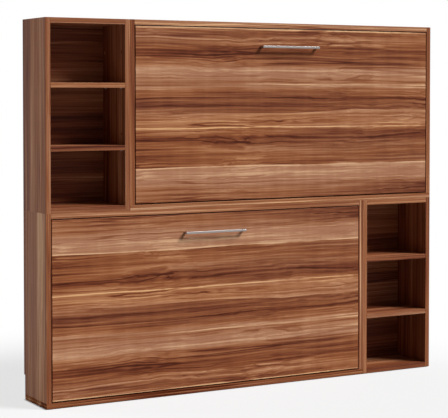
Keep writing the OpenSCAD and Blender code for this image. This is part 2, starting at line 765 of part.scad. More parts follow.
lower_bed_side_left();
lower_bed_side_right();
lower_bed_top();
lower_bed_bottom();
lower_shelf_side_left();
lower_shelf_side_right();
lower_shelf_top();
lower_shelf_bottom();
lower_shelf_back();
lower_shelves();
upper_bed_side_left();
upper_bed_side_right();
upper_bed_top();
upper_bed_bottom();
upper_shelf_side_left();
upper_shelf_side_right();
upper_shelf_top();
upper_shelf_bottom();
upper_shelf_back();
upper_shelves();
back_rails();
wall_plates();
shelf_pins();
cam_fittings();
cabinet_screws();
module_bolts();
floor_glides();
pivot_plates();
pivot_bolts();
stop_pins();
rubber_stops();
strut_brackets();
lower_front_panel();
lower_handle();
lower_long_rails();
lower_end_rails();
lower_arm_plates();
lower_pivot_bushes();
lower_slats();
lower_slat_holders();
lower_mattress();
lower_straps();
lower_frame_screws();
upper_front_panel();
upper_handle();
upper_long_rails();
upper_end_rails();
upper_arm_plates();
upper_pivot_bushes();
upper_slats();
upper_slat_holders();
upper_mattress();
upper_straps();
upper_frame_screws();
lower_strut_cylinders();
lower_strut_rods();
upper_strut_cylinders();
upper_strut_rods();
guard_rail();
guard_brackets();
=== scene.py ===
"""Bunk wall bed: two side-folding beds behind walnut fronts, each beside an open shelf unit.

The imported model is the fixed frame: it says where each piece is and what it moves with. The
operators below make the finished pieces on it, in metres, and the panel lists them in order.
"""

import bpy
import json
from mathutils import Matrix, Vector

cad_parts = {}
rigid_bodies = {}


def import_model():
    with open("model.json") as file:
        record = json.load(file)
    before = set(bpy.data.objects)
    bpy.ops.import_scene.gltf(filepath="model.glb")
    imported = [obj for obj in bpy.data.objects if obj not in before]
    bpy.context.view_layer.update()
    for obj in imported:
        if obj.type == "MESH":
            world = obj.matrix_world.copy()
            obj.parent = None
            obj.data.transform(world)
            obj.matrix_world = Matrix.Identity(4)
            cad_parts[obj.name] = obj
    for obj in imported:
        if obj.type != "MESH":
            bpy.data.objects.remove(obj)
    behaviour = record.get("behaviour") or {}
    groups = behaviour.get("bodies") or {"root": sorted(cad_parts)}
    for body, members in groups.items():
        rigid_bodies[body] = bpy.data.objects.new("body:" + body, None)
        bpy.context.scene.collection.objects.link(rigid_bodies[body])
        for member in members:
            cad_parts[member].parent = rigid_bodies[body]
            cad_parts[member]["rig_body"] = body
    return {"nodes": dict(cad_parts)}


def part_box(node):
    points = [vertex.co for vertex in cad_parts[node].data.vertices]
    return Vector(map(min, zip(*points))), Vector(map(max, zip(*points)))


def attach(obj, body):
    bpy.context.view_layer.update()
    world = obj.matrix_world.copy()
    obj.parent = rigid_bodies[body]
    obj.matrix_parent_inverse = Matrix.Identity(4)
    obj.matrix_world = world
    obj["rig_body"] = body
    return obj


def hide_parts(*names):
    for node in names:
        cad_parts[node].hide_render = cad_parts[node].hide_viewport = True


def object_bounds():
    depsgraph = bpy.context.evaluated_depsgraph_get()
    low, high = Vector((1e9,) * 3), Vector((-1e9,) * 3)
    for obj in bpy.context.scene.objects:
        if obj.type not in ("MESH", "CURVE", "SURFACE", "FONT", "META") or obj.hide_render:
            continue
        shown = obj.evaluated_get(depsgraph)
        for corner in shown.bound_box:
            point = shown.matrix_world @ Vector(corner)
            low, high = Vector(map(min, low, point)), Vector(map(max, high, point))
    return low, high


bl_info = {
    "name": "Bunk Wall Bed",
    "version": (1, 0, 0),
    "blender": (4, 5, 0),
    "location": "3D View > Sidebar > Wall Bed",
    "description": "Boards, fronts, frames, mattresses and fittings of a bunk wall bed",
    "category": "Object",
}

import json
import math

import bmesh
import bpy
import numpy as np
from bpy.props import FloatProperty, FloatVectorProperty, IntProperty, PointerProperty
from mathutils import Matrix, Vector
from mathutils.bvhtree import BVHTree

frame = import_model()
CAD_NODES = frame["nodes"]
CAD_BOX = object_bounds()
LEVELS = ("lower", "upper")


GAMMA = 2.2


def srgb(red, green, blue):
    """A linear colour from the 0 to 255 values of a colour chart."""
    return tuple(pow(c / 255, GAMMA) for c in (red, green, blue))


def shade_of(tint, factor):
    """A tint made darker, or lighter up to white."""
    return tuple(min(1.0, c * factor) for c in tint)


# ---- Settings ----


def size(name, description, default, least=0.0):
    return FloatProperty(
        name=name, description=description, default=default, min=least, unit="LENGTH", precision=4
    )


def colour(name, description, default):
    return FloatVectorProperty(
        name=name, description=description, default=default, min=0, max=1, subtype="COLOR"
    )


def fraction(name, description, default):
    return FloatProperty(name=name, description=description, default=default, min=0, max=1)


def amount(name, description, default, least=0.0):
    return FloatProperty(name=name, description=description, default=default, min=least)


def heading(name, description, default):
    return FloatProperty(name=name, description=description, default=default, subtype="ANGLE")


def whole(name, description, default, least):
    return IntProperty(name=name, description=description, default=default, min=least)


def triple(name, description, default, **kind):
    return FloatVectorProperty(name=name, description=description, default=default, **kind)


class WallBedWood(bpy.types.PropertyGroup):
    """Colours and grain of the walnut decor and of the beech slats."""

    darkest: colour("Darkest", "Dark heartwood streaks", srgb(74, 34, 19))
    dark: colour("Dark", "Dark planks", srgb(108, 58, 40))
    middle: colour("Middle", "Planks of middle tone", srgb(146, 91, 62))
    light: colour("Light", "Light planks", srgb(180, 128, 98))
    sapwood: colour("Sapwood", "Thin bright lines of sapwood", srgb(222, 177, 138))
    pore: colour("Pores", "Open pores of the walnut", srgb(62, 34, 25))
    beech: colour("Beech", "Lacquered beech of the slats", srgb(212, 176, 130))
    board_edge: size("Board edge", "Radius of the cabinet boards' edges", 0.0012)
    front_edge: size("Front edge", "Radius of the bed fronts' edges", 0.0015)
    front_gap: size("Front gap", "How much wider the gap round the bed fronts is", 0.0018)
    lower_gap: size("Lower gap", "How much wider the gap under the bed fronts is", 0.0036)


class WallBedMetal(bpy.types.PropertyGroup):
    """Finishes of the metal, plastic and rubber parts."""

    handle: colour("Handle", "Brushed steel of the handles", srgb(168, 160, 156))
    paint: colour("Frame paint", "Powder coat of the bed frames", srgb(36, 37, 39))
    zinc: colour("Zinc", "Zinc plate of the fittings", srgb(190, 191, 193))
    chrome: colour("Chrome", "Rods of the gas struts", srgb(205, 206, 208))
    black: colour("Black paint", "Cylinders of the gas struts", srgb(38, 38, 40))
    plastic: colour("Plastic", "Slat holders, bushes and glides", srgb(46, 46, 49))
    rubber: colour("Rubber", "Buffers and stop sleeves", srgb(34, 34, 34))
    edge: size("Edge radius", "Radius of the small fittings' edges", 0.0006)
    tube_edge: size("Tube edge", "Radius of the frame tubes' edges", 0.0014)
    handle_edge: size("Handle edge", "Radius of the handles' edges", 0.0014)


class WallBedSoft(bpy.types.PropertyGroup):
    """Mattresses and straps."""

    ticking: colour("Ticking", "Woven ticking of the mattresses", srgb(233, 229, 219))
    piping: colour("Piping", "Piping along the mattresses' edges", srgb(150, 152, 156))
    webbing: colour("Webbing", "Retaining straps", srgb(58, 59, 63))
    start_inset: size("Start inset", "How much smaller the cover starts on each side", 0.008)
    most_swell: size("Most swell", "How far the cover may swell", 0.008)
    corner: size("Corner radius", "Radius of the mattresses' edges", 0.024)
    voxel: size("Voxel", "Grid of the cover that is simulated", 0.016, 0.004)
    quilt_pitch: size("Quilt pitch", "Distance between the quilting's stitch lines", 0.15, 0.02)
    quilt_depth: size("Quilt depth", "Depth of the quilting", 0.006)
    piping_radius: size("Piping radius", "Radius of the piping", 0.0038)
    quilt_groove: size("Quilt groove", "Width of the quilting's grooves", 0.011, 0.001)
    quilt_rim: size("Quilt rim", "Width over which the quilting begins", 0.03, 0.001)
    pressure: amount("Pressure", "Pressure that fills the cover", 4.0)
    quality: whole("Quality", "Steps of the simulation to a frame", 4, 1)
    frames: whole("Frames", "Length of the simulation", 16, 2)


class WallBedStage(bpy.types.PropertyGroup):
    """Camera, lamps and floor."""

    lens: amount("Lens", "Focal length in millimetres", 117.2, 20)
    eye: triple(
        "Eye",
        "Camera's place from the front lower left corner, in heights of the bed",
        (-1.414, -3.439, 0.808),
    )
    turn: heading("Turn", "Camera's heading", math.radians(-29.33))
    tip: heading("Tip", "Camera's tip downwards", math.radians(1.92))
    shift: FloatProperty(name="Shift", description="Vertical lens shift", default=-0.15)
    key: amount("Key", "Strength of the key lamp", 4.3)
    key_from: triple(
        "Key from", "Direction of the key lamp", (0.55, -0.5, 0.675), subtype="DIRECTION"
    )
    key_spread: heading("Key spread", "How wide the key lamp is", math.radians(24))
    rear: amount("Rear", "Strength of the rear lamp", 1.15)
    rear_from: triple(
        "Rear from", "Direction of the rear lamp", (-0.75, 0.75, 0.5), subtype="DIRECTION"
    )
    rear_spread: heading("Rear spread", "How wide the rear lamp is", math.radians(30))
    fill: amount("Fill", "Strength of the sky", 0.055)
    mirrored: amount("Mirrored", "Brightness of the white background in reflections", 0.45)
    floor: colour("Floor", "Floor's colour in the light that it throws back", (0.27, 0.272, 0.28))
    pale: colour("Pale floor", "Floor's colour where it is seen", (0.95, 0.955, 0.965))
    seen: fraction("Seen", "Share of its own shading that the floor shows", 0.2)
    middle: triple(
        "Middle",
        "Place on the floor from which it fades into the background",
        (-0.6, -0.3, 0.0),
        unit="LENGTH",
    )
    fade_start: size("Fade start", "Where the floor begins to fade into the background", 1.5)
    fade_end: size("Fade end", "Where the floor has become the background", 3.0)
    # Painted shade on the floor: its white is dimmer near the bed and brightens away from the
    # middle, a place left of the bed where its shadow falls
    painted_shade_white: fraction("Near white", "Brightness of the floor's white near the bed", 0.89)
    contact: size("Contact shade", "Width of the shade round the cabinets' foot", 0.012)


SETTINGS = {
    "wall_bed_wood": WallBedWood,
    "wall_bed_metal": WallBedMetal,
    "wall_bed_soft": WallBedSoft,
    "wall_bed_stage": WallBedStage,
}


def wood():
    return bpy.context.scene.wall_bed_wood


def metal():
    return bpy.context.scene.wall_bed_metal


def soft():
    return bpy.context.scene.wall_bed_soft


# ---- Node trees ----

NOISE_MIDDLE = 0.5


class Graph:
    """Writes one node tree: adds nodes, sets their inputs and links them."""

    def __init__(self, tree):
        self.tree = tree

    def add(self, kind, inputs=None, **settings):
        node = self.tree.nodes.new(kind)
        for name, value in settings.items():
            setattr(node, name, value)
        for key, value in (inputs or {}).items():
            if isinstance(value, bpy.types.NodeSocket):
                self.link(value, node.inputs[key])
            else:
                node.inputs[key].default_value = value
        return node

    def math(self, operation, *values, clamp=False):
        inputs = dict(enumerate(values))
        return self.add("ShaderNodeMath", inputs, operation=operation, use_clamp=clamp).outputs[0]

    def vector(self, operation, *values):
        inputs = dict(enumerate(values))
        return self.add("ShaderNodeVectorMath", inputs, operation=operation).outputs[0]

    def scaled(self, vector, factor):
        inputs = {0: vector, 3: factor}
        return self.add("ShaderNodeVectorMath", inputs, operation="SCALE").outputs[0]

    def point(self, x=0.0, y=0.0, z=0.0):
        return self.add("ShaderNodeCombineXYZ", {0: x, 1: y, 2: z}).outputs[0]

    def axes(self, vector):
        return self.add("ShaderNodeSeparateXYZ", {0: vector}).outputs

    def attribute(self, name):
        """A number that the mesh carries."""
        return self.add("ShaderNodeAttribute", attribute_name=name).outputs["Fac"]

    def turned(self, vector, upright):
        """Coordinates as they are, or with Z in the place of X for what runs upright."""
        turn = (0, math.radians(90) if upright else 0, 0)
        return self.add("ShaderNodeMapping", {"Vector": vector, "Rotation": turn}).outputs[0]

    def link(self, output, socket):
        self.tree.links.new(output, socket)

    def noise(self, vector, scale, detail=2.0, roughness=0.5, output=0):
        """Noise with scale, a number or three, as its cells to a metre along X, Y and Z."""
        stretch = scale if hasattr(scale, "__len__") else (scale,) * 3
        inputs = {
            "Vector": self.vector("MULTIPLY", vector, stretch),
            "Scale": 1.0,
            "Detail": detail,
            "Roughness": roughness,
        }
        return self.add("ShaderNodeTexNoise", inputs).outputs[output]

    def waver(self, vector, scale, detail=2.0, roughness=0.5):
        """Noise that lies evenly round zero."""
        return self.math("SUBTRACT", self.noise(vector, scale, detail, roughness), NOISE_MIDDLE)

    def apart(self, first, second):
        """How far two values are apart."""
        return self.math("ABSOLUTE", self.math("SUBTRACT", first, second))

    def span(self, value, low, high, to_low=0.0, to_high=1.0, smooth=False):
        """Value from low to high, taken to to_low to to_high and held there."""
        kind = "SMOOTHSTEP" if smooth else "LINEAR"
        inputs = dict(enumerate((value, low, high, to_low, to_high)))
        return self.add("ShaderNodeMapRange", inputs, interpolation_type=kind).outputs[0]

    def ramp(self, value, stops):
        """A colour ramp through (place, grey or colour) stops."""
        node = self.add("ShaderNodeValToRGB", {0: value})
        elements = node.color_ramp.elements
        while len(elements) < len(stops):
            elements.new(1.0)
        for element, (place, tone) in zip(elements, stops):
            element.position = place
            element.color = (*tone, 1) if hasattr(tone, "__len__") else (tone, tone, tone, 1)
        return node.outputs[0]

    def mix(self, factor, first, second, blend="MIX"):
        inputs = {0: factor, 6: opaque(first), 7: opaque(second)}
        return self.add("ShaderNodeMix", inputs, data_type="RGBA", blend_type=blend).outputs[2]

    def group(self, tree, inputs, kind="ShaderNodeGroup"):
        return self.add(kind, inputs, node_tree=tree).outputs


def opaque(value):
    """A colour with its alpha, or a socket as it is."""
    return value if isinstance(value, bpy.types.NodeSocket) else (*value[:3], 1.0)


def new_group(name, kind, inputs, outputs):
    """An empty node group with named sockets: its tree, its Graph, its entry and its exit."""
    tree = bpy.data.node_groups.new(name, kind)
    for label, socket, default in inputs:
        made = tree.interface.new_socket(name=label, in_out="INPUT", socket_type=socket)
        if default is not None:
            made.default_value = default
    for label, socket in outputs:
        tree.interface.new_socket(name=label, in_out="OUTPUT", socket_type=socket)
    graph = Graph(tree)
    return tree, graph, graph.add("NodeGroupInput").outputs, graph.add("NodeGroupOutput").inputs


FLOAT, VECTOR, RGBA = "NodeSocketFloat", "NodeSocketVector", "NodeSocketColor"
GEOMETRY, MATERIAL, INTEGER = "NodeSocketGeometry", "NodeSocketMaterial", "NodeSocketInt"


def once(build):
    """Builds a tree or material on the first call, and gives the same one on later calls."""
    kept = []

    def give():
        if not kept:
            kept.append(build())
        return kept[0]

    return give


def dark_lines(g, at, count, width):
    """Thin wandering lines along X, about count of them to a metre."""
    field = g.noise(at, (0.4, count, count), 2, 0.4)
    return g.span(g.apart(field, NOISE_MIDDLE), 0.0, width, 1.0, 0.0, smooth=True)


@once
def grain_group():
    """Wood grain along X: broad figure, growth rings, streaks and fine lines, and open pores."""
    tree, g, given, out = new_group(
        "Wood grain",
        "ShaderNodeTree",
        [
            ("Vector", VECTOR, None),
            ("Fineness", FLOAT, 1.0),
            ("Wander", FLOAT, 0.02),
            ("Rings", FLOAT, 0.3),
        ],
        [("Tone", FLOAT), ("Fine", FLOAT), ("Pores", FLOAT), ("Height", FLOAT)],
    )
    middle = (NOISE_MIDDLE,) * 3
    reach = g.point(0.0, given["Wander"], given["Wander"])
    bend = g.vector("SUBTRACT", g.noise(given["Vector"], (0.9, 3, 3), 1, 0.5, 1), middle)
    bent = g.vector("MULTIPLY_ADD", bend, reach, given["Vector"])
    curl = g.vector("SUBTRACT", g.noise(given["Vector"], (3.6, 12, 12), 2, 0.5, 1), middle)
    patches = g.span(g.noise(given["Vector"], (1.7, 5, 5), 1), 0.47, 0.66, 0.12, 1.0)
    curled = g.scaled(g.vector("MULTIPLY", curl, reach), patches)
    at = g.scaled(g.vector("ADD", bent, curled), given["Fineness"])
    figure = g.waver(at, (0.3, 8, 8), 2, 0.5)
    streaks = g.waver(at, (0.8, 70, 70), 4, 0.65)
    fine = g.noise(at, (4.5, 330, 330), 3, 0.6)
    finer_lines = g.math("MULTIPLY", dark_lines(g, at, 47, 0.05), 0.6)
    lines = g.math("ADD", dark_lines(g, at, 19, 0.035), finer_lines)
    strength = g.span(g.noise(at, (0.5, 11, 11), 1), 0.4, 0.62, 0.1, 1.0)
    lines = g.math("MULTIPLY", g.math("MULTIPLY", lines, strength), given["Rings"])
    tone = g.math("MULTIPLY_ADD", streaks, 1.25, g.math("MULTIPLY", figure, 0.6))
    tone = g.math("MULTIPLY_ADD", g.math("SUBTRACT", fine, NOISE_MIDDLE), 0.4, tone)
    tone = g.math("SUBTRACT", g.math("MULTIPLY_ADD", given["Rings"], 0.25, tone), lines)
    pores = g.span(g.noise(at, (30, 1100, 1100), 2, 0.5), 0.6, 0.7, smooth=True)
    g.link(tone, out["Tone"])
    g.link(fine, out["Fine"])
    g.link(pores, out["Pores"])
    height = g.math("MULTIPLY_ADD", pores, -0.6, g.math("MULTIPLY", fine, 0.5))
    g.link(height, out["Height"])
    return tree


@once
def scuff_group():
    """Faint rubbed and dusty patches with fine scratches, for painted and plated parts."""
    tree, g, given, out = new_group(
        "Scuffs",
        "ShaderNodeTree",
        [("Vector", VECTOR, None), ("Scale", FLOAT, 1.0)],
        [("Patches", FLOAT), ("Scratches", FLOAT), ("Grit", FLOAT)],
    )
    at = g.scaled(given["Vector"], given["Scale"])
    g.link(g.span(g.noise(at, 9, 4, 0.6), 0.42, 0.68), out["Patches"])
    scratches = g.span(g.noise(at, (14, 420, 60), 2, 0.5), 0.66, 0.74)
    g.link(scratches, out["Scratches"])
    g.link(g.noise(at, 1400, 2, 0.6), out["Grit"])
    return tree


@once
def brushed_group():
    """Fine lines along X, as abrasive belts leave them."""
    tree, g, given, out = new_group(
        "Brushed lines",
        "ShaderNodeTree",
        [("Vector", VECTOR, None), ("Fineness", FLOAT, 1.0)],
        [("Lines", FLOAT), ("Bands", FLOAT)],
    )
    at = g.scaled(given["Vector"], given["Fineness"])
    g.link(g.noise(at, (12, 2600, 2600), 3, 0.7), out["Lines"])
    g.link(g.noise(at, (3, 260, 260), 2, 0.5), out["Bands"])
    return tree


@once
def weave_group():
    """Crossing threads of a fabric on all three axes, with slubs."""
    tree, g, given, out = new_group(
        "Woven threads",
        "ShaderNodeTree",
        [("Vector", VECTOR, None), ("Pitch", FLOAT, 0.0016)],
        [("Threads", FLOAT), ("Slubs", FLOAT)],
    )
    turns = g.math("DIVIDE", math.tau, given["Pitch"])
    waves = [g.math("SINE", axis) for axis in g.axes(g.scaled(given["Vector"], turns))]
    total = g.math("ADD", g.math("ADD", waves[0], waves[1]), waves[2])
    g.link(g.span(total, -2, 2), out["Threads"])
    g.link(g.noise(given["Vector"], (120, 120, 900), 3, 0.6), out["Slubs"])
    return tree


# ---- Materials ----


def new_material(name, **constants):
    """A material's Graph, its Principled shader and the piece's own coordinates."""
    material = bpy.data.materials.new(name)
    material.use_nodes = True
    g = Graph(material.node_tree)
    shader = material.node_tree.nodes["Principled BSDF"]
    for label, value in constants.items():
        shader.inputs[label.replace("_", " ")].default_value = value
    at = g.add("ShaderNodeTexCoord").outputs["Object"]
    return material, g, shader, at


def bump(g, shader, height, distance, strength=1.0):
    inputs = {"Height": height, "Distance": distance, "Strength": strength}
    g.link(g.add("ShaderNodeBump", inputs).outputs[0], shader.inputs["Normal"])


WARM_TINT = (1.07, 1.0, 0.82)


def lacquer(g, shader, tone, grain, warm):
    """Walnut at a tone from 0 to 1, with warm patches and open pores, under a satin lacquer."""
    tints = wood()
    stops = [
        (0.0, tints.darkest),
        (0.22, tints.dark),
        (0.52, tints.middle),
        (0.8, tints.light),
        (1.0, tints.sapwood),
    ]
    tinted = g.mix(warm, g.ramp(tone, stops), WARM_TINT, "MULTIPLY")
    body = g.mix(g.math("MULTIPLY", grain["Pores"], 0.3), tinted, tints.pore)
    g.link(body, shader.inputs["Base Color"])
    g.link(g.span(grain["Fine"], 0.3, 0.7, 0.52, 0.42), shader.inputs["Roughness"])
    bump(g, shader, grain["Height"], 0.0003, 0.5)


SATIN, MATT = 0.16, 0.0


def walnut_finish(name, shine=SATIN):
    """A new material for the walnut decor."""
    return new_material(name, IOR=1.45, Specular_IOR_Level=shine)


# How far each next board's decor is cut from the last one's, along and across the grain
BOARDS_APART = (3.1, 0.37, 0.53)


def walnut(name, upright, tone_shift=0.0, shine=SATIN):
    """Walnut decor on a board, its grain along X, or along Z where upright, each board its own."""
    material, g, shader, at = walnut_finish(name, shine)
    apart = g.scaled(g.point(*BOARDS_APART), g.attribute("board"))
    along = g.vector("ADD", g.turned(at, upright), apart)
    across = g.axes(at)[0 if upright else 2]
    grain = g.group(grain_group(), {"Vector": along, "Wander": 0.016, "Rings": 0.3})
    planks = g.noise(along, (0.12, 9, 9), 1, 0.4)
    tone = g.span(planks, 0.36, 0.64, 0.3, 0.66)
    steps = g.span(g.noise(along, (0.2, 17, 17), 0), 0.47, 0.5, -0.06, 0.06)
    # Faces towards the front or back take the edge's tone; the other faces take the painted shading
    # by depth, painted shade towards the back and painted light towards the front
    facing = g.axes(g.add("ShaderNodeTexCoord").outputs["Normal"])[1]
    banded = g.span(g.math("ABSOLUTE", facing), 0.6, 0.8)
    lifts = {0: banded, 2: g.attribute("painted depth shading"), 3: g.attribute("edge lift")}
    lift = g.add("ShaderNodeMix", lifts).outputs[0]
    tone = g.math("ADD", g.math("ADD", tone, steps), g.math("ADD", lift, tone_shift))
    tone = g.math("MULTIPLY_ADD", grain["Tone"], 0.9, tone, clamp=True)
    waves, bright_line, bright_joint, joint = 0.008, 0.24, 0.28, 0.53
    line = g.math("MULTIPLY_ADD", g.waver(along, (0.8, 3, 3), 1), waves, g.attribute("line"))
    line = g.span(g.apart(across, line), 0.0015, 0.004, bright_line, 0.0, smooth=True)
    tone = g.math("ADD", tone, line, clamp=True)
    line = g.span(g.apart(planks, joint), 0.0, 0.006, bright_joint, 0.0, smooth=True)
    tone = g.math("ADD", tone, line, clamp=True)
    warm = g.span(g.noise(along, (0.5, 6, 6), 2), 0.35, 0.65, 0.0, 0.7)
    lacquer(g, shader, tone, grain, warm)
    return material


# Cabinet boards whose decor is lighter or darker than the rest, in shares of the tone's range: on
# the front edge, then painted shading by depth on the faces at the back and at the front: mostly
# painted shade deep in the shelf compartments and painted light at their openings. The last value
# is where a bright line runs along the front edge, as a share of the board's thickness
NO_LINE = -1.0
PLAIN_DECOR = (0.0, 0.0, 0.0, NO_LINE)
BOARD_DECOR = {
    "upper_bed_top": (0.26, 0.0, 0.0, 0.4),
    "upper_bed_bottom": (0.08, 0.0, 0.0, 0.28),
    "upper_bed_side_left": (0.12, 0.0, 0.0, NO_LINE),
    "upper_bed_side_right": (0.2, 0.0, 0.0, NO_LINE),
    "upper_shelf_top": (0.14, 0.0, 0.0, NO_LINE),
    "upper_shelf_bottom": (-0.2, 0.0, 0.0, NO_LINE),
    "upper_shelf_side_left": (0.0, -0.2, 0.0, NO_LINE),
    "upper_shelf_side_right": (0.0, -0.42, 0.18, NO_LINE),
    "lower_bed_top": (-0.03, 0.0, 0.0, 0.4),
    "lower_bed_bottom": (0.04, 0.0, 0.0, 0.5),
    "lower_bed_side_left": (0.0, 0.12, 0.14, NO_LINE),
    "lower_bed_side_right": (-0.2, 0.0, 0.0, 0.4),
    "lower_shelf_side_right": (0.25, -0.45, 0.34, NO_LINE),
    "lower_shelf_top": (-0.08, 0.0, 0.0, 0.35),
    "lower_shelves": (0.0, -0.07, -0.07, NO_LINE),
    "lower_shelf_back": (0.08, 0.0, 0.0, NO_LINE),
}


# The decor of a bed front: its tone at places from its upper edge down, as shares of its height.
# Two places close together are the joint of two planks
DECOR = (
    (0.0, 0.6),
    (0.017, 0.5),
    (0.022, 0.38),
    (0.045, 0.52),
    (0.09, 0.46),
    (0.112, 0.3),
    (0.14, 0.2),
    (0.205, 0.5),
    (0.228, 0.58),
    (0.235, 0.78),
    (0.31, 0.66),
    (0.34, 0.76),
    (0.36, 0.52),
    (0.375, 0.38),
    (0.41, 0.28),
    (0.45, 0.24),
    (0.475, 0.44),
    (0.51, 0.58),
    (0.578, 0.56),
    (0.586, 0.4),
    (0.64, 0.24),
    (0.7, 0.42),
    (0.75, 0.38),
    (0.798, 0.5),
    (0.803, 0.84),
    (0.885, 0.76),
    (0.915, 0.58),
    (0.955, 0.42),
    (0.98, 0.36),
    (1.0, 0.26),
)
# Thin bright lines of sapwood: their place as a share of the height, and their strength
SAPWOOD_LINES = ((0.007, 0.4), (0.326, 0.36), (0.58, 0.4), (0.803, 0.32))


def front_walnut(name, centre, height, mirrored):
    """The plank decor of a bed front, mirrored top to bottom on the lower one."""
    material, g, shader, at = walnut_finish(name)
    centred = g.vector("SUBTRACT", at, centre)
    here = centred if not mirrored else g.vector("MULTIPLY", centred, (1, 1, -1))
    grain = g.group(grain_group(), {"Vector": here, "Wander": 0.05, "Rings": 0.38})
    share = g.math("MULTIPLY_ADD", g.axes(here)[2], -1 / height, 0.5)
    drift, ripple = g.waver(here, (1.2, 4, 4), 2), g.waver(here, (3.5, 26, 26), 3)
    share = g.math("MULTIPLY_ADD", drift, 0.024, share)
    planks = g.ramp(g.math("MULTIPLY_ADD", ripple, 0.03, share), DECOR)
    calm = g.span(planks, 0.5, 0.75, 1.15, 0.62)
    clouds, flames = g.waver(here, (1.6, 3, 3), 2), g.waver(here, (13, 2.6, 2.6), 2)
    tone = g.math("MULTIPLY_ADD", clouds, 0.3, planks)
    tone = g.math("MULTIPLY_ADD", flames, 0.16, tone)
    tone = g.math("MULTIPLY_ADD", grain["Tone"], calm, tone)
    broken = g.span(g.noise(here, (0.9, 2, 2), 2), 0.42, 0.56, 0.2, 1.0)
    for place, strength in SAPWOOD_LINES:
        line = g.span(g.apart(share, place), 0.002, 0.0055, strength, 0.0, smooth=True)
        tone = g.math("ADD", tone, g.math("MULTIPLY", line, broken))
    tone = g.math("ADD", tone, 0.0, clamp=True)
    warm = g.span(g.noise(here, (0.5, 6, 6), 2), 0.35, 0.6)
    warm = g.math("MULTIPLY", warm, g.span(planks, 0.6, 0.76, 1.0, 0.1))
    lacquer(g, shader, tone, grain, warm)
    return material


@once
def walnut_along():
    return walnut("Walnut along", upright=False)


@once
def walnut_matt():
    return walnut("Walnut matt", upright=False, shine=MATT)


@once
def walnut_up():
    return walnut("Walnut upright", upright=True)


# Shelf backs with their decor darkened, painted shade deep inside the compartments
@once
def walnut_back():
    return walnut("Walnut back in painted shade", upright=False, tone_shift=-0.18)


@once
def beech():
    """Lacquered beech with its short flecks and the glue lines of its laminations."""
    material, g, shader, at = new_material("Beech", IOR=1.5)
    values = {"Vector": g.turned(at, upright=True), "Fineness": 1.6, "Wander": 0.01}
    grain = g.group(grain_group(), values)
    tint = wood().beech
    dark = shade_of(tint, 0.72)
    tone = g.math("ADD", g.math("MULTIPLY", grain["Tone"], 0.6), 0.55, clamp=True)
    plain = g.ramp(tone, [(0.0, dark), (0.6, tuple(tint)), (1.0, shade_of(tint, 1.1))])
    flecks = g.span(g.noise(at, (900, 900, 130), 1), 0.62, 0.68)
    body = g.mix(g.math("MULTIPLY", flecks, 0.35), plain, dark)
    g.link(body, shader.inputs["Base Color"])
    g.link(g.span(grain["Fine"], 0.3, 0.7, 0.38, 0.28), shader.inputs["Roughness"])
    bump(g, shader, grain["Height"], 0.0002, 0.4)
    return material


def steel(name, tint, upright, low, high, lines=1.0):
    """Bare or plated steel with fine lines along X, or along Z where upright."""
    material, g, shader, at = new_material(name, Metallic=1.0)
    brushed = g.group(brushed_group(), {"Vector": g.turned(at, upright), "Fineness": lines})
    scuffs = g.group(scuff_group(), {"Vector": at, "Scale": 1.0})
    shade = g.span(brushed["Bands"], 0.3, 0.7)
    body = g.mix(shade, shade_of(tint, 0.86), shade_of(tint, 1.06))
    g.link(body, shader.inputs["Base Color"])
    rough = g.span(brushed["Lines"], 0.3, 0.7, low, high)
    rough = g.math("MULTIPLY_ADD", scuffs["Patches"], 0.08, rough, clamp=True)
    g.link(rough, shader.inputs["Roughness"])
    bump(g, shader, brushed["Lines"], 0.00006, 0.5)
    return material


@once
def handle_steel():
    return steel("Brushed handle steel", metal().handle, False, 0.3, 0.46)


@once
def zinc_steel():
    return steel("Zinc plated steel", metal().zinc, True, 0.34, 0.5, 0.4)


@once
def strut_chrome():
    return steel("Chromed rod", metal().chrome, True, 0.06, 0.14, 0.6)


def coated(name, tint, low, high, grit, scale=1.0, shine=0.5):
    """Paint, plastic or rubber with a fine texture, rubbed in places."""
    material, g, shader, at = new_material(name, Specular_IOR_Level=shine)
    scuffs = g.group(scuff_group(), {"Vector": at, "Scale": scale})
    rubbed = g.mix(g.math("MULTIPLY", scuffs["Patches"], 0.5), tint, shade_of(tint, 1.18))
    scraped = g.mix(g.math("MULTIPLY", scuffs["Scratches"], 0.3), rubbed, shade_of(tint, 1.5))
    g.link(scraped, shader.inputs["Base Color"])
    rough = g.span(scuffs["Patches"], 0, 1, low, high)
    g.link(rough, shader.inputs["Roughness"])
    bump(g, shader, scuffs["Grit"], grit, 0.6)
    return material


@once
def frame_paint():
    return coated("Powder coat", metal().paint, 0.52, 0.64, 0.00025, 0.7, 0.3)


@once
def strut_black():
    return coated("Satin black paint", metal().black, 0.28, 0.42, 0.00008)


@once
def black_plastic():
    return coated("Moulded plastic", metal().plastic, 0.46, 0.6, 0.00012, 1.4)


@once
def rubber():
    return coated("Rubber", metal().rubber, 0.72, 0.86, 0.0002, 1.2)


# Length of a quilting stitch, and distances between the threads of the fabrics
STITCH = 0.006
TICKING_THREADS, PIPING_THREADS = 0.0022, 0.0014
WEBBING_RIBS, WEBBING_TWILL = 0.0042, 0.0026


def quilt_lines(g, at):
    """How near a point is to the quilting's stitch lines, from 0 to half the pitch."""
    axes = g.axes(at)
    pitch = soft().quilt_pitch
    distances = []
    for operation in ("ADD", "SUBTRACT"):
        run = g.math("DIVIDE", g.math(operation, axes[0], axes[2]), pitch)
        off = g.apart(g.math("FRACT", run), 0.5)
        distances.append(g.math("MULTIPLY", off, pitch * math.sqrt(0.5)))
    return g.math("MINIMUM", *distances)


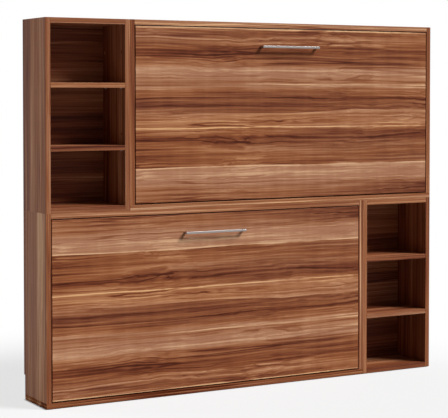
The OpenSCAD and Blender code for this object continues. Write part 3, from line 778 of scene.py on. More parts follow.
def fabric(name, tint, pitch, quilted=False):
    """A woven cover, with stitch lines where it is quilted."""
    material, g, shader, at = new_material(name, Roughness=0.85, IOR=1.4)
    shader.inputs["Sheen Weight"].default_value = 0.25
    shader.inputs["Sheen Roughness"].default_value = 0.5
    weave = g.group(weave_group(), {"Vector": at, "Pitch": pitch})
    shade = g.span(weave["Threads"], 0.1, 0.9, 0.0, 0.55)
    body = g.mix(shade, tint, shade_of(tint, 0.82))
    body = g.mix(g.span(weave["Slubs"], 0.45, 0.7, 0.0, 0.3), body, shade_of(tint, 0.9))
    height = weave["Threads"]
    if quilted:
        stitched = g.span(quilt_lines(g, at), 0.0008, 0.002, 1.0, 0.0)
        dash = g.math("SINE", g.math("MULTIPLY", g.axes(at)[0], math.tau / STITCH))
        thread = g.math("MULTIPLY", stitched, g.span(dash, -0.4, 0.0))
        body = g.mix(g.math("MULTIPLY", thread, 0.6), body, shade_of(tint, 0.6))
        height = g.math("MULTIPLY_ADD", stitched, -1.5, height)
    g.link(body, shader.inputs["Base Color"])
    bump(g, shader, height, 0.0004, 0.5)
    return material


@once
def ticking():
    return fabric("Quilted ticking", soft().ticking, TICKING_THREADS, quilted=True)


@once
def piping_cloth():
    return fabric("Piping", soft().piping, PIPING_THREADS)


@once
def webbing():
    """Strap webbing: ribs along the strap and a twill across them, on the strap's own UV map."""
    material, g, shader, _ = new_material("Webbing", Roughness=0.7)
    shader.inputs["Sheen Weight"].default_value = 0.3
    uv = g.add("ShaderNodeUVMap", uv_map="Strap").outputs[0]
    axes = g.axes(uv)
    ribs = g.math("SINE", g.math("MULTIPLY", axes[1], math.tau / WEBBING_RIBS))
    slant = g.math("ADD", axes[0], g.math("MULTIPLY", axes[1], 0.7))
    twill = g.math("SINE", g.math("MULTIPLY", slant, math.tau / WEBBING_TWILL))
    threads = g.math("MULTIPLY_ADD", twill, 0.5, ribs)
    tint = soft().webbing
    edge = g.span(g.math("ABSOLUTE", axes[1]), 0.02, 0.0215)
    body = g.mix(g.span(threads, -1.5, 1.5), shade_of(tint, 0.55), shade_of(tint, 1.35))
    body = g.mix(g.math("MULTIPLY", edge, 0.6), body, shade_of(tint, 0.5))
    g.link(body, shader.inputs["Base Color"])
    bump(g, shader, threads, 0.0004, 0.6)
    return material


# ---- Making pieces ----

# Points closer than this are one, and faces within this angle are one flat face
SAME_POINT = 1e-6
FLAT = 0.01
# The least angle between faces whose edge is rounded, and the least one that stays a crease on cut
# pieces and on soft or welded ones
ROUNDED = math.radians(50)
CREASE = math.radians(38)
SOFT_CREASE = math.radians(50)
# The shortest edges that are rounded. Shorter ones belong to holes, grooves and hooks
BOARD_EDGES = 0.012
TUBE_EDGES = 0.2
PLATE_EDGES = 0.005
HANDLE_EDGES = 0.006
MOULDED_EDGES = 0.004


def merged(node):
    """A CAD node's shape with its loose triangles merged, as a new bmesh."""
    bm = bmesh.new()
    bm.from_mesh(CAD_NODES[node].data)
    bmesh.ops.remove_doubles(bm, verts=bm.verts, dist=SAME_POINT)
    return bm


def solids(node):
    """The points of each separate solid in a CAD node, as arrays, in the order of its mesh."""
    bm = merged(node)
    found, seen = [], set()
    for start in bm.verts:
        if start in seen:
            continue
        seen.add(start)
        waiting, points = [start], []
        while waiting:
            vertex = waiting.pop()
            points.append(vertex.co[:])
            for edge in vertex.link_edges:
                other = edge.other_vert(vertex)
                if other not in seen:
                    seen.add(other)
                    waiting.append(other)
        found.append(np.array(points))
    bm.free()
    return found


def ease(bm, radius, least=0.0, segments=3):
    """Rounds the sharp edges of a bmesh that are longer than least."""
    sharp = [
        edge
        for edge in bm.edges
        if len(edge.link_faces) == 2
        and edge.calc_length() > least
        and edge.calc_face_angle() > ROUNDED
    ]
    bmesh.ops.bevel(
        bm, geom=sharp, offset=radius, segments=segments, profile=0.5, affect="EDGES"
    )


def plain_mesh(bm, name):
    """The mesh of a bmesh, which is freed."""
    mesh = bpy.data.meshes.new(name)
    bm.to_mesh(mesh)
    bm.free()
    return mesh


def shaded(mesh, crease=CREASE):
    """The mesh with smooth shading, apart from where its faces meet at more than crease."""
    mesh.shade_smooth()
    mesh.set_sharp_from_angle(angle=crease)
    return mesh


def vertex_array(mesh):
    found = np.empty(len(mesh.vertices) * 3)
    mesh.vertices.foreach_get("co", found)
    return found.reshape(-1, 3)


def add_piece(name, mesh, materials, body, replaced=()):
    """A finished piece that rides on a body and stands for the CAD nodes it replaces."""
    piece = bpy.data.objects.new(name, mesh)
    bpy.context.scene.collection.objects.link(piece)
    for material in materials:
        mesh.materials.append(material)
    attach(piece, body)
    if replaced:
        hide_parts(*replaced)
    return piece


def level_normals(piece):
    """Keeps flat faces evenly lit beside rounded edges."""
    modifier = piece.modifiers.new("Weighted normals", "WEIGHTED_NORMAL")
    modifier.keep_sharp = True
    return piece


def body_of(node):
    return CAD_NODES[node]["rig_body"]


def eased_piece(node, suffix, material, slot, radius, least=0.0):
    """A CAD node's shape with rounded edges and a finish, in the node's place."""
    bm = merged(node)
    bmesh.ops.dissolve_limit(bm, angle_limit=FLAT, verts=bm.verts, edges=bm.edges)
    ease(bm, radius, least)
    mesh = shaded(plain_mesh(bm, node))
    piece = add_piece(f"{node}_{suffix}", mesh, [material], body_of(node), [node])
    return level_normals(piece)


def end_tree(g, shape, given, out):
    """Ends a geometry tree: its instances made real, with the material that it was given."""
    real = g.add("GeometryNodeRealizeInstances", {0: shape}).outputs[0]
    done = g.add("GeometryNodeSetMaterial", {"Geometry": real, "Material": given["Material"]})
    g.link(done.outputs[0], out["Geometry"])


def grown(tree, start, values):
    """The plain mesh that a geometry tree makes from a start mesh, with its named inputs set."""
    carrier = bpy.data.objects.new("start", start)
    bpy.context.scene.collection.objects.link(carrier)
    modifier = carrier.modifiers.new("Tree", "NODES")
    modifier.node_group = tree
    sockets = {
        item.name: item.identifier
        for item in tree.interface.items_tree
        if item.item_type == "SOCKET" and item.in_out == "INPUT"
    }
    for label, value in values.items():
        modifier[sockets[label]] = value
    evaluated = carrier.evaluated_get(bpy.context.evaluated_depsgraph_get())
    mesh = bpy.data.meshes.new_from_object(evaluated)
    bpy.data.objects.remove(carrier)
    return mesh


# ---- Boards ----


class WALLBED_OT_boards(bpy.types.Operator):
    """Cabinet boards and shelves in walnut decor, their edges eased"""

    bl_idname = "wallbed.boards"
    bl_label = "Cabinet boards"

    def execute(self, context):
        edge = wood().board_edge
        boards = []
        for level in LEVELS:
            for part in ("bed_top", "bed_bottom", "shelf_top", "shelf_bottom", "shelves"):
                material = walnut_matt() if part == "bed_bottom" else walnut_along()
                boards.append((f"{level}_{part}", material, "walnut"))
            for part in ("bed_side_left", "bed_side_right", "shelf_side_left", "shelf_side_right"):
                boards.append((f"{level}_{part}", walnut_up(), "walnut"))
            boards.append((f"{level}_shelf_back", walnut_back(), "walnut_back"))
        boards.append(("back_rails", walnut_along(), "plain_walnut"))
        for number, (node, material, slot) in enumerate(boards):
            edge_lift, back_painted_shading, front_painted_shading, share = BOARD_DECOR.get(node, PLAIN_DECOR)
            low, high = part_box(node)
            axis = 0 if "side" in node else 2
            line = low[axis] + share * (high[axis] - low[axis])
            mesh = eased_piece(node, "board", material, slot, edge, BOARD_EDGES).data
            # Painted shading by depth: blended from the back's value to the front's, painted shade
            # deep in the compartments and painted light at their openings
            forward = (high.y - vertex_array(mesh)[:, 1]) / (high.y - low.y)
            painted_depth_shading = back_painted_shading + (front_painted_shading - back_painted_shading) * forward
            looks = {"board": number, "edge lift": edge_lift, "painted depth shading": painted_depth_shading, "line": line}
            for label, value in looks.items():
                values = mesh.attributes.new(label, "FLOAT", "POINT")
                values.data.foreach_set("value", value + np.zeros(len(mesh.vertices)))
        return {"FINISHED"}


class WALLBED_OT_fronts(bpy.types.Operator):
    """Bed fronts with the plank decor, the lower one mirrored top to bottom"""

    bl_idname = "wallbed.fronts"
    bl_label = "Bed fronts"

    def execute(self, context):
        for level in LEVELS:
            node = f"{level}_front_panel"
            low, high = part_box(node)
            centre, height = (low + high) / 2, high.z - low.z
            decor = front_walnut(f"Walnut {level} front", centre, height, level == "lower")
            edge = wood().front_edge
            front = eased_piece(node, "board", decor, "front_walnut", edge, BOARD_EDGES)
            inset, lower_inset = wood().front_gap, wood().lower_gap
            start = low + Vector((inset, 0, lower_inset))
            across = 1 - 2 * inset / (high.x - low.x)
            upright = 1 - (inset + lower_inset) / height
            shrink = Matrix.Translation(start) @ Matrix.Diagonal((across, 1, upright, 1))
            front.data.transform(shrink @ Matrix.Translation(-low))
        return {"FINISHED"}


class WALLBED_OT_handles(bpy.types.Operator):
    """Straight bar handles in brushed steel"""

    bl_idname = "wallbed.handles"
    bl_label = "Handles"

    def execute(self, context):
        for level in LEVELS:
            node = f"{level}_handle"
            edge = metal().handle_edge
            eased_piece(node, "bar", handle_steel(), "handle_steel", edge, HANDLE_EDGES)
        return {"FINISHED"}


# ---- Bed frames ----


class WALLBED_OT_frames(bpy.types.Operator):
    """Steel frames behind the bed fronts, with their arm plates, powder coated"""

    bl_idname = "wallbed.frames"
    bl_label = "Bed frames"

    def execute(self, context):
        finish = metal()
        for level in LEVELS:
            painted = (frame_paint(), "frame_paint")
            for part in ("long_rails", "end_rails"):
                eased_piece(f"{level}_{part}", "tubes", *painted, finish.tube_edge, TUBE_EDGES)
            eased_piece(f"{level}_arm_plates", "steel", *painted, finish.edge, PLATE_EDGES)
            moulded = (black_plastic(), "black_plastic")
            for part, suffix in (("slat_holders", "caps"), ("pivot_bushes", "plastic")):
                eased_piece(f"{level}_{part}", suffix, *moulded, finish.edge / 2, MOULDED_EDGES)
        return {"FINISHED"}


@once
def slat_tree():
    """A row of slats along X: a rounded section swept along Z, set out at a pitch."""
    tree, g, given, out = new_group(
        "Slat row",
        "GeometryNodeTree",
        [
            ("Geometry", GEOMETRY, None),
            ("Count", INTEGER, 13),
            ("Pitch", FLOAT, 0.15),
            ("Width", FLOAT, 0.068),
            ("Thickness", FLOAT, 0.008),
            ("Length", FLOAT, 0.9),
            ("Edge radius", FLOAT, 0.003),
            ("Centre", VECTOR, None),
            ("Material", MATERIAL, None),
        ],
        [("Geometry", GEOMETRY)],
    )
    section = g.add(
        "GeometryNodeCurvePrimitiveQuadrilateral",
        {"Width": given["Width"], "Height": given["Thickness"]},
    ).outputs[0]
    rounded = g.add(
        "GeometryNodeFilletCurve",
        {"Curve": section, "Radius": given["Edge radius"], "Count": 4},
        mode="POLY",
    ).outputs[0]
    half = g.math("MULTIPLY", given["Length"], 0.5)
    low = g.point(z=g.math("MULTIPLY", half, -1.0))
    high = g.point(z=half)
    path = g.add("GeometryNodeCurvePrimitiveLine", {"Start": low, "End": high}).outputs[0]
    slat = g.add(
        "GeometryNodeCurveToMesh", {"Curve": path, "Profile Curve": rounded, "Fill Caps": True}
    ).outputs[0]
    gaps = g.math("SUBTRACT", given["Count"], 1.0)
    reach = g.math("MULTIPLY", g.math("MULTIPLY", gaps, given["Pitch"]), -0.5)
    first = g.vector("ADD", given["Centre"], g.point(reach))
    row = g.add(
        "GeometryNodeMeshLine",
        {
            "Count": given["Count"],
            "Start Location": first,
            "Offset": g.point(given["Pitch"]),
        },
    ).outputs[0]
    placed = g.add("GeometryNodeInstanceOnPoints", {"Points": row, "Instance": slat}).outputs[0]
    end_tree(g, placed, given, out)
    return tree


class WALLBED_OT_slats(bpy.types.Operator):
    """Laminated beech slats across each frame"""

    bl_idname = "wallbed.slats"
    bl_label = "Slats"

    def execute(self, context):
        for level in LEVELS:
            node = f"{level}_slats"
            boxes = [(p.min(0), p.max(0)) for p in solids(node)]
            centres = sorted((low[0] + high[0]) / 2 for low, high in boxes)
            low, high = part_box(node)
            first = boxes[0]
            values = {
                "Count": len(boxes),
                "Pitch": (centres[-1] - centres[0]) / (len(boxes) - 1),
                "Width": float(first[1][0] - first[0][0]),
                "Thickness": high.y - low.y,
                "Length": high.z - low.z,
                "Edge radius": 0.003,
                "Centre": tuple((low + high) / 2),
                "Material": beech(),
            }
            mesh = shaded(grown(slat_tree(), bpy.data.meshes.new(node), values))
            level_normals(add_piece(f"{node}_beech", mesh, [], body_of(node), [node]))
        return {"FINISHED"}


# ---- Gas struts ----


class WALLBED_OT_struts(bpy.types.Operator):
    """Gas struts: satin black cylinders and chromed rods"""

    bl_idname = "wallbed.struts"
    bl_label = "Gas struts"

    def execute(self, context):
        edge = metal().edge
        for level in LEVELS:
            node = f"{level}_strut_cylinders"
            eased_piece(node, "tubes", strut_black(), "strut_black", edge)
            node = f"{level}_strut_rods"
            eased_piece(node, "steel", strut_chrome(), "strut_chrome", edge)
        return {"FINISHED"}


# ---- Mattresses ----


def rounded_box(low, high, radius, segments=4):
    """A box with rounded edges, as a bmesh."""
    bm = bmesh.new()
    bmesh.ops.create_cube(bm, size=1.0)
    middle, extent = (low + high) / 2, high - low
    for vertex in bm.verts:
        vertex.co = middle + Vector(c * e for c, e in zip(vertex.co, extent))
    bmesh.ops.bevel(
        bm, geom=bm.edges[:], offset=radius, segments=segments, profile=0.5, affect="EDGES"
    )
    return bm


def apply_modifier(piece, name):
    """Bakes one modifier of a piece into its mesh."""
    with bpy.context.temp_override(object=piece, active_object=piece):
        bpy.ops.object.modifier_apply(modifier=name)


def swollen(mesh, settings):
    """The mesh after its cover has been filled: a closed cloth under pressure, its swell held."""
    piece = bpy.data.objects.new("cover", mesh)
    scene = bpy.context.scene
    scene.collection.objects.link(piece)
    remesh = piece.modifiers.new("Remesh", "REMESH")
    remesh.mode = "VOXEL"
    remesh.voxel_size = settings.voxel
    apply_modifier(piece, "Remesh")
    start = vertex_array(piece.data)
    cloth = piece.modifiers.new("Cloth", "CLOTH")
    cloth.settings.use_pressure = True
    cloth.settings.uniform_pressure_force = settings.pressure
    cloth.settings.effector_weights.gravity = 0
    cloth.settings.quality = settings.quality
    for number in range(1, settings.frames + 1):
        scene.frame_set(number)
    apply_modifier(piece, "Cloth")
    scene.frame_set(1)
    moved = vertex_array(piece.data) - start
    length = np.linalg.norm(moved, axis=1, keepdims=True)
    held = start + moved * np.minimum(1.0, settings.most_swell / np.maximum(length, 1e-9))
    piece.data.vertices.foreach_set("co", held.ravel())
    subdivision = piece.modifiers.new("Subdivision", "SUBSURF")
    subdivision.levels = 1
    subdivision.render_levels = 1
    apply_modifier(piece, "Subdivision")
    done = piece.data
    bpy.data.objects.remove(piece)
    return done


def stitch_distance(x, z, pitch):
    """How far points are from the nearest of the quilting's diagonal stitch lines."""
    found = [np.abs((run / pitch) % 1 - 0.5) * pitch * math.sqrt(0.5) for run in (x + z, x - z)]
    return np.minimum(*found)


def quilt(mesh, low, high, settings):
    """Presses the quilting's stitch lines into both broad faces."""
    points = vertex_array(mesh)
    middle, half = np.array((low + high) / 2), np.array((high - low) / 2)
    away = points - middle
    edge = np.minimum(half[0] - np.abs(away[:, 0]), half[2] - np.abs(away[:, 2]))
    depth_in = half[1] - np.abs(away[:, 1])
    broad = np.clip((edge - settings.corner) / settings.quilt_rim, 0, 1)
    broad = broad * (depth_in < settings.corner)
    off = stitch_distance(points[:, 0], points[:, 2], settings.quilt_pitch)
    groove = np.exp(-((off / settings.quilt_groove) ** 2))
    points[:, 1] -= np.sign(away[:, 1]) * broad * groove * settings.quilt_depth
    mesh.vertices.foreach_set("co", points.ravel())
    mesh.shade_smooth()


def tube(points, radius, name, sides=10, closed=True):
    """A round tube along points, as a mesh."""
    curve = bpy.data.curves.new(name, "CURVE")
    curve.dimensions = "3D"
    curve.bevel_depth = radius
    curve.bevel_resolution = max(0, sides // 4 - 1)
    curve.use_fill_caps = not closed
    spline = curve.splines.new("POLY")
    spline.points.add(len(points) - 1)
    for target, point in zip(spline.points, points):
        target.co = (*point, 1)
    spline.use_cyclic_u = closed
    spline.use_smooth = True
    carrier = bpy.data.objects.new(name, curve)
    mesh = bpy.data.meshes.new_from_object(carrier)
    bpy.data.objects.remove(carrier)
    bpy.data.curves.remove(curve)
    return mesh


PATH_STEP = 0.012  # between the points of a cord or a strap


def round_rectangle(half_x, half_z, radius, step):
    """Points round a rectangle with rounded corners, about step apart."""
    points = []
    turn = max(4, round(radius * math.pi / 2 / step))
    for quarter, (sx, sz) in enumerate(((1, 1), (-1, 1), (-1, -1), (1, -1))):
        for i in range(turn + 1):
            angle = math.radians(90) * (quarter + i / turn)
            x = sx * (half_x - radius) + radius * math.cos(angle)
            points.append(Vector((x, 0, sz * (half_z - radius) + radius * math.sin(angle))))
    spaced = []
    for start, end in zip(points, points[1:] + points[:1]):
        count = max(1, round((end - start).length / step))
        spaced += [start.lerp(end, i / count) for i in range(count)]
    return spaced


def joined(meshes, name):
    """One mesh of several."""
    bm = bmesh.new()
    for mesh in meshes:
        bm.from_mesh(mesh)
    return plain_mesh(bm, name)


class WALLBED_OT_mattresses(bpy.types.Operator):
    """Foam mattresses in quilted ticking with piped edges"""

    bl_idname = "wallbed.mattresses"
    bl_label = "Mattresses"

    def execute(self, context):
        settings = soft()
        low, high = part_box("lower_mattress")
        inset = Vector((1, 1, 1)) * settings.start_inset
        bm = rounded_box(low + inset, high - inset, settings.corner)
        cover = swollen(plain_mesh(bm, "mattress"), settings)
        piping = self.piping(cover, low, high, settings)
        quilt(cover, low, high, settings)
        for level in LEVELS:
            node = f"{level}_mattress"
            shift = Matrix.Translation(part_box(node)[0] - low)
            body, slot = body_of(node), "mattress_ticking"
            mesh = self.shifted(cover, shift)
            piece = add_piece(f"{node}_cover", mesh, [ticking()], body, [node])
            mesh = self.shifted(piping, shift)
            add_piece(f"{node}_piping", mesh, [piping_cloth()], body)
        return {"FINISHED"}

    def shifted(self, mesh, shift):
        made = mesh.copy()
        made.transform(shift)
        return made

    def piping(self, cover, low, high, settings):
        """Cords sewn along the two rims, laid on the swollen cover."""
        bm = bmesh.new()
        bm.from_mesh(cover)
        surface = BVHTree.FromBMesh(bm)
        bm.free()
        middle, half = (low + high) / 2, (high - low) / 2
        bend, lift = settings.corner * 1.5, settings.piping_radius * 0.15
        rims = []
        for side in (-1, 1):
            rim = round_rectangle(half.x, half.z, bend, PATH_STEP)
            level = middle.y + side * half.y
            points = []
            for point in rim:
                sought = Vector((middle.x + point.x, level, middle.z + point.z))
                place, normal, _, _ = surface.find_nearest(sought)
                points.append(place + normal * lift)
            before, after = points[-1:] + points[:-1], points[1:] + points[:1]
            smooth = [(a + b * 2 + c) / 4 for a, b, c in zip(before, points, after)]
            rims.append(tube(smooth, settings.piping_radius, "piping", sides=12))
        return joined(rims, "piping")


# ---- Straps ----


def corner_path(corners, radius, turn=6):
    """Points along a path whose inner corners are rounded."""
    path = [corners[0]]
    for before, corner, after in zip(corners, corners[1:], corners[2:]):
        start = corner + (before - corner).normalized() * radius
        end = corner + (after - corner).normalized() * radius
        for i in range(turn + 1):
            t = i / turn
            path.append(start * (1 - t) ** 2 + corner * 2 * t * (1 - t) + end * t ** 2)
    return path + [corners[-1]]


def finely(path, step):
    """The path with points added so that none are further apart than step."""
    points = []
    for start, end in zip(path, path[1:]):
        count = max(1, math.ceil((end - start).length / step))
        points += [start.lerp(end, i / count) for i in range(count)]
    return points + [path[-1]]


SELVEDGE = 0.0012  # how far the webbing's edges are rounded


def band(path, across, width, thickness, edge):
    """A flat strap along a path, with soft edges and a UV map of its length and width in metres."""
    bm = bmesh.new()
    uv = bm.loops.layers.uv.new("Strap")
    half_w, half_t = width / 2, thickness / 2
    shoulder, fall = edge * 0.3, half_t * 0.72
    right = [
        (half_w - edge, half_t),
        (half_w - shoulder, fall),
        (half_w, 0),
        (half_w - shoulder, -fall),
        (half_w - edge, -half_t),
    ]
    section = right + [(-u, v) for u, v in reversed(right)]
    rings, runs, run = [], [], 0.0
    for i, point in enumerate(path):
        ahead = path[min(i + 1, len(path) - 1)]
        behind = path[max(i - 1, 0)]
        out = (ahead - behind).normalized().cross(across)
        rings.append([bm.verts.new(point + across * u + out * v) for u, v in section])
        run += (point - behind).length
        runs.append(run)
    count = len(section)
    for i in range(len(rings) - 1):
        for j in range(count):
            k = (j + 1) % count
            face = bm.faces.new((rings[i][j], rings[i][k], rings[i + 1][k], rings[i + 1][j]))
            corners = ((i, j), (i, k), (i + 1, k), (i + 1, j))
            for loop, (a, b) in zip(face.loops, corners):
                loop[uv].uv = (runs[a], section[b][0])
    for ring, at in ((rings[0], 0), (rings[-1][::-1], -1)):
        cap = bm.faces.new(ring)
        for loop in cap.loops:
            loop[uv].uv = (runs[at], 0)
    bmesh.ops.recalc_face_normals(bm, faces=bm.faces)
    return bm


class WALLBED_OT_straps(bpy.types.Operator):
    """Webbing straps round each mattress, riveted to the frame and drawn up by buckles"""

    bl_idname = "wallbed.straps"
    bl_label = "Straps"

    thickness: size("Thickness", "Thickness of the webbing", 0.0024)
    bend: size("Bend", "Radius of the strap's corners", 0.014)
    rivet: size("Rivet", "Radius of the rivets' heads", 0.007)
    rivets_apart: size("Rivets apart", "Distance between the two rivets of a strap's end", 0.028)
    rivet_inset: size("Rivet inset", "Distance of the rivets from the strap's end", 0.016)

    def execute(self, context):
        for level in LEVELS:
            node = f"{level}_straps"
            meshes, heads, buckles = [], [], []
            for points in solids(node):
                low, high = Vector(points.min(0)), Vector(points.max(0))
                half = self.thickness / 2
                x, width = (low.x + high.x) / 2, high.x - low.x
                corners = [
                    Vector((x, low.y, low.z + half)),
                    Vector((x, high.y - half, low.z + half)),
                    Vector((x, high.y - half, high.z - half)),
                    Vector((x, low.y, high.z - half)),
                ]
                path = finely(corner_path(corners, self.bend), PATH_STEP)
                bm = band(path, Vector((1, 0, 0)), width, self.thickness, SELVEDGE)
                meshes.append(plain_mesh(bm, node))
                for dx in (-self.rivets_apart / 2, self.rivets_apart / 2):
                    for z, up in ((low.z, -1), (high.z, 1)):
                        place = Vector((x + dx, low.y + self.rivet_inset, z))
                        heads.append((place, Vector((0, 0, up))))
                buckles.append(self.buckle(Vector((x, high.y, (low.z + high.z) / 2)), width))
            mesh = shaded(joined(meshes, node), SOFT_CREASE)
            add_piece(f"{node}_webbing", mesh, [webbing()], body_of(node), [node])
            rivets = set_out(turned(self.domed_head()), heads, zinc_steel(), seed=0)
            add_piece(f"{level}_strap_rivets", rivets, [], body_of(node))
            frames = joined(buckles, "buckle")
            frames.shade_smooth()
            add_piece(f"{level}_strap_buckles", frames, [zinc_steel()], body_of(node))
        return {"FINISHED"}

    def domed_head(self):
        """The outline of a rivet's head, from its rim to the top of its dome."""
        rim, shoulder, top, crown = 0.0006, 0.0015, 0.0019, 0.0015
        rings = [(self.rivet, 0), (self.rivet, rim), (self.rivet * 0.8, shoulder), (crown, top)]
        return [(radius, height, ROUND) for radius, height in rings]

    def buckle(self, place, width):
        """A wire buckle that lies on the strap: a rounded frame and the bar across it."""
        wire, half_length, bend, step = 0.0019, 0.019, 0.006, 0.003
        half_width = width / 2 + 0.005
        rim = round_rectangle(half_width, half_length, bend, step)
        lift = Vector((0, wire * 0.9, 0))
        frame_wire = tube([place + lift + point for point in rim], wire, "buckle", sides=12)
        reach = Vector((half_width, 0, 0))
        bar = tube([place + lift - reach, place + lift + reach], wire * 0.9, "bar", 12, False)
        return joined([frame_wire, bar], "buckle")


# ---- Guard rail ----


@once
def tube_tree():
    """Round tubes along the edges of the start mesh, each as thick as its attribute says."""
    tree, g, given, out = new_group(
        "Tubes along edges",
        "GeometryNodeTree",
        [("Geometry", GEOMETRY, None), ("Sides", INTEGER, 32), ("Material", MATERIAL, None)],
        [("Geometry", GEOMETRY)],
    )
    lines = g.add("GeometryNodeMeshToCurve", {"Mesh": given["Geometry"]}).outputs[0]
    thick = g.add("GeometryNodeInputNamedAttribute", {"Name": "thick"}, data_type="FLOAT")
    thick = thick.outputs[0]
    sized = g.add("GeometryNodeSetCurveRadius", {"Curve": lines, "Radius": thick}).outputs[0]
    ring = g.add(
        "GeometryNodeCurvePrimitiveCircle", {"Resolution": given["Sides"], "Radius": 1.0}
    ).outputs[0]
    shape = {"Curve": sized, "Profile Curve": ring, "Scale": thick, "Fill Caps": True}
    skin = g.add("GeometryNodeCurveToMesh", shape).outputs[0]
    end_tree(g, skin, given, out)
    return tree


def rod_profile(start, end, radius, round_end):
    """Points along a rod and its radius at each, with rounded ends."""
    along = (end - start).normalized()
    length = (end - start).length
    narrow, part = radius - round_end, round_end * 0.3
    steps = [(0.0, narrow), (part, radius - part), (round_end, radius)]
    back = [(length - distance, r) for distance, r in reversed(steps)]
    return [(start + along * distance, r) for distance, r in steps + back]


class WALLBED_OT_guard(bpy.types.Operator):
    """Guard rail of the upper bed: welded tubes on three bearing brackets"""

    bl_idname = "wallbed.guard"
    bl_label = "Guard rail"

    rail: size("Rail radius", "Radius of the two outer tubes", 0.008)
    bar: size("Bar radius", "Radius of the bars between them", 0.005)
    post: size("Post radius", "Radius of the posts", 0.006)
    inset: size("Post inset", "Distance of the end posts from the tubes' ends", 0.014)
    bars: whole("Bars", "Bars between the two outer tubes", 2, 0)
    posts: whole("Posts", "Posts that join the tubes", 4, 2)
    round_end: size("Round end", "Radius of the tubes' rounded ends", 0.0015)
    sides: whole("Sides", "Sides of a tube's section", 28, 6)

    def execute(self, context):
        low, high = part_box("guard_rail")
        y = (low.y + high.y) / 2
        bottom, top = low.z + self.rail, high.z - self.rail
        rods = []
        for i in range(self.bars + 2):
            z = bottom + (top - bottom) * i / (self.bars + 1)
            radius = self.bar if 0 < i <= self.bars else self.rail
            rods.append((Vector((low.x, y, z)), Vector((high.x, y, z)), radius))
        for i in range(self.posts):
            x = low.x + self.inset + (high.x - low.x - 2 * self.inset) * i / (self.posts - 1)
            rods.append((Vector((x, y, bottom)), Vector((x, y, top)), self.post))
        lines = bpy.data.meshes.new("guard lines")
        points, edges, radii = [], [], []
        for start, end, radius in rods:
            profile = rod_profile(start, end, radius, self.round_end)
            edges += [(len(points) + i, len(points) + i + 1) for i in range(len(profile) - 1)]
            points += [point for point, _ in profile]
            radii += [r for _, r in profile]
        lines.from_pydata(points, edges, [])
        lines.attributes.new("thick", "FLOAT", "POINT").data.foreach_set("value", radii)
        values = {"Sides": self.sides, "Material": frame_paint()}
        mesh = shaded(grown(tube_tree(), lines, values), SOFT_CREASE)
        add_piece("guard_rail_tubes", mesh, [], "guard", ["guard_rail"])
        finish = (frame_paint(), "frame_paint")
        eased_piece("guard_brackets", "steel", *finish, metal().edge, PLATE_EDGES)
        return {"FINISHED"}


# ---- Fasteners ----


ROUND, HEXAGON, CROSS = range(3)
# The widths of the drive recesses and how deep they are, as shares of the head's radius, half the
# width of a cross's arms as a share of the cross's radius, and the depth of the deepest recess
HEXAGON_WIDTH, CROSS_WIDTH, RECESS_DEPTH = 0.5, 0.66, 0.7
CROSS_ARM = 0.24
DEEPEST_RECESS = 0.0035


def outline(kind, radius, angle):
    """Radius of a ring of one of the three kinds at an angle."""
    if kind == HEXAGON:
        off = (angle + math.radians(30)) % math.radians(60) - math.radians(30)
        return radius * math.cos(math.radians(30)) / math.cos(off)
    if kind == CROSS:
        off = abs((angle + math.radians(45)) % math.radians(90) - math.radians(45))
        arm = CROSS_ARM * radius
        return min(radius / math.cos(off), arm / max(math.sin(off), 1e-6))
    return radius


def turned(profile, sides=24):
    """A turned shape along Z through rings of (radius, height, kind), closed at both ends."""
    bm = bmesh.new()
    rings = []
    for radius, height, kind in profile:
        ring = []
        for i in range(sides):
            angle = math.tau * i / sides
            reach = outline(kind, radius, angle)
            ring.append(bm.verts.new((reach * math.cos(angle), reach * math.sin(angle), height)))
        rings.append(ring)
    for lower, upper in zip(rings, rings[1:]):
        for i in range(sides):
            j = (i + 1) % sides
            bm.faces.new((lower[i], lower[j], upper[j], upper[i]))
    bm.faces.new(rings[0][::-1])
    bm.faces.new(rings[-1])
    bmesh.ops.recalc_face_normals(bm, faces=bm.faces)
    return shaded(plain_mesh(bm, "turned"))


@once
def set_out_tree():
    """The same shape at every point, along the point's direction and turned about it at random."""
    tree, g, given, out = new_group(
        "Set out",
        "GeometryNodeTree",
        [
            ("Geometry", GEOMETRY, None),
            ("Shape", "NodeSocketObject", None),
            ("Seed", INTEGER, 7),
            ("Material", MATERIAL, None),
        ],
        [("Geometry", GEOMETRY)],
    )
    way = g.add("GeometryNodeInputNamedAttribute", {"Name": "way"}, data_type="FLOAT_VECTOR")
    aligned = g.add("FunctionNodeAlignRotationToVector", {"Vector": way.outputs[0]}, axis="Z")
    angle = g.add("FunctionNodeRandomValue", {"Seed": given["Seed"]}, data_type="FLOAT")
    angle.inputs[2].default_value = 0.0
    angle.inputs[3].default_value = math.tau
    spin = g.add("FunctionNodeAxisAngleToRotation", {"Axis": (0, 0, 1), "Angle": angle.outputs[1]})
    turned_by = g.add(
        "FunctionNodeRotateRotation",
        {"Rotation": aligned.outputs[0], "Rotate By": spin.outputs[0]},
        rotation_space="LOCAL",
    )
    shape = g.add("GeometryNodeObjectInfo", {"Object": given["Shape"], "As Instance": True})
    placed = g.add(
        "GeometryNodeInstanceOnPoints",
        {
            "Points": given["Geometry"],
            "Instance": shape.outputs["Geometry"],
            "Rotation": turned_by.outputs[0],
        },
    )
    end_tree(g, placed.outputs[0], given, out)
    return tree


def set_out(shape_mesh, places, material, seed):
    """One mesh with the shape at each (place, direction)."""
    shape = bpy.data.objects.new("shape", shape_mesh)
    bpy.context.scene.collection.objects.link(shape)
    points = bpy.data.meshes.new("points")
    points.from_pydata([place for place, _ in places], [], [])
    ways = points.attributes.new("way", "FLOAT_VECTOR", "POINT")
    ways.data.foreach_set("vector", [c for _, way in places for c in way])
    mesh = grown(set_out_tree(), points, {"Shape": shape, "Seed": seed, "Material": material})
    bpy.data.objects.remove(shape)
    return mesh


# Points nearer to the axis than the least radius lie on it, and smaller steps of radius or height
# than these are none. No ring is made smaller than the last value
LEAST_RADIUS, RADIUS_STEP, HEIGHT_STEP = 5e-4, 2e-4, 2e-5
LEAST_RING = 1e-4


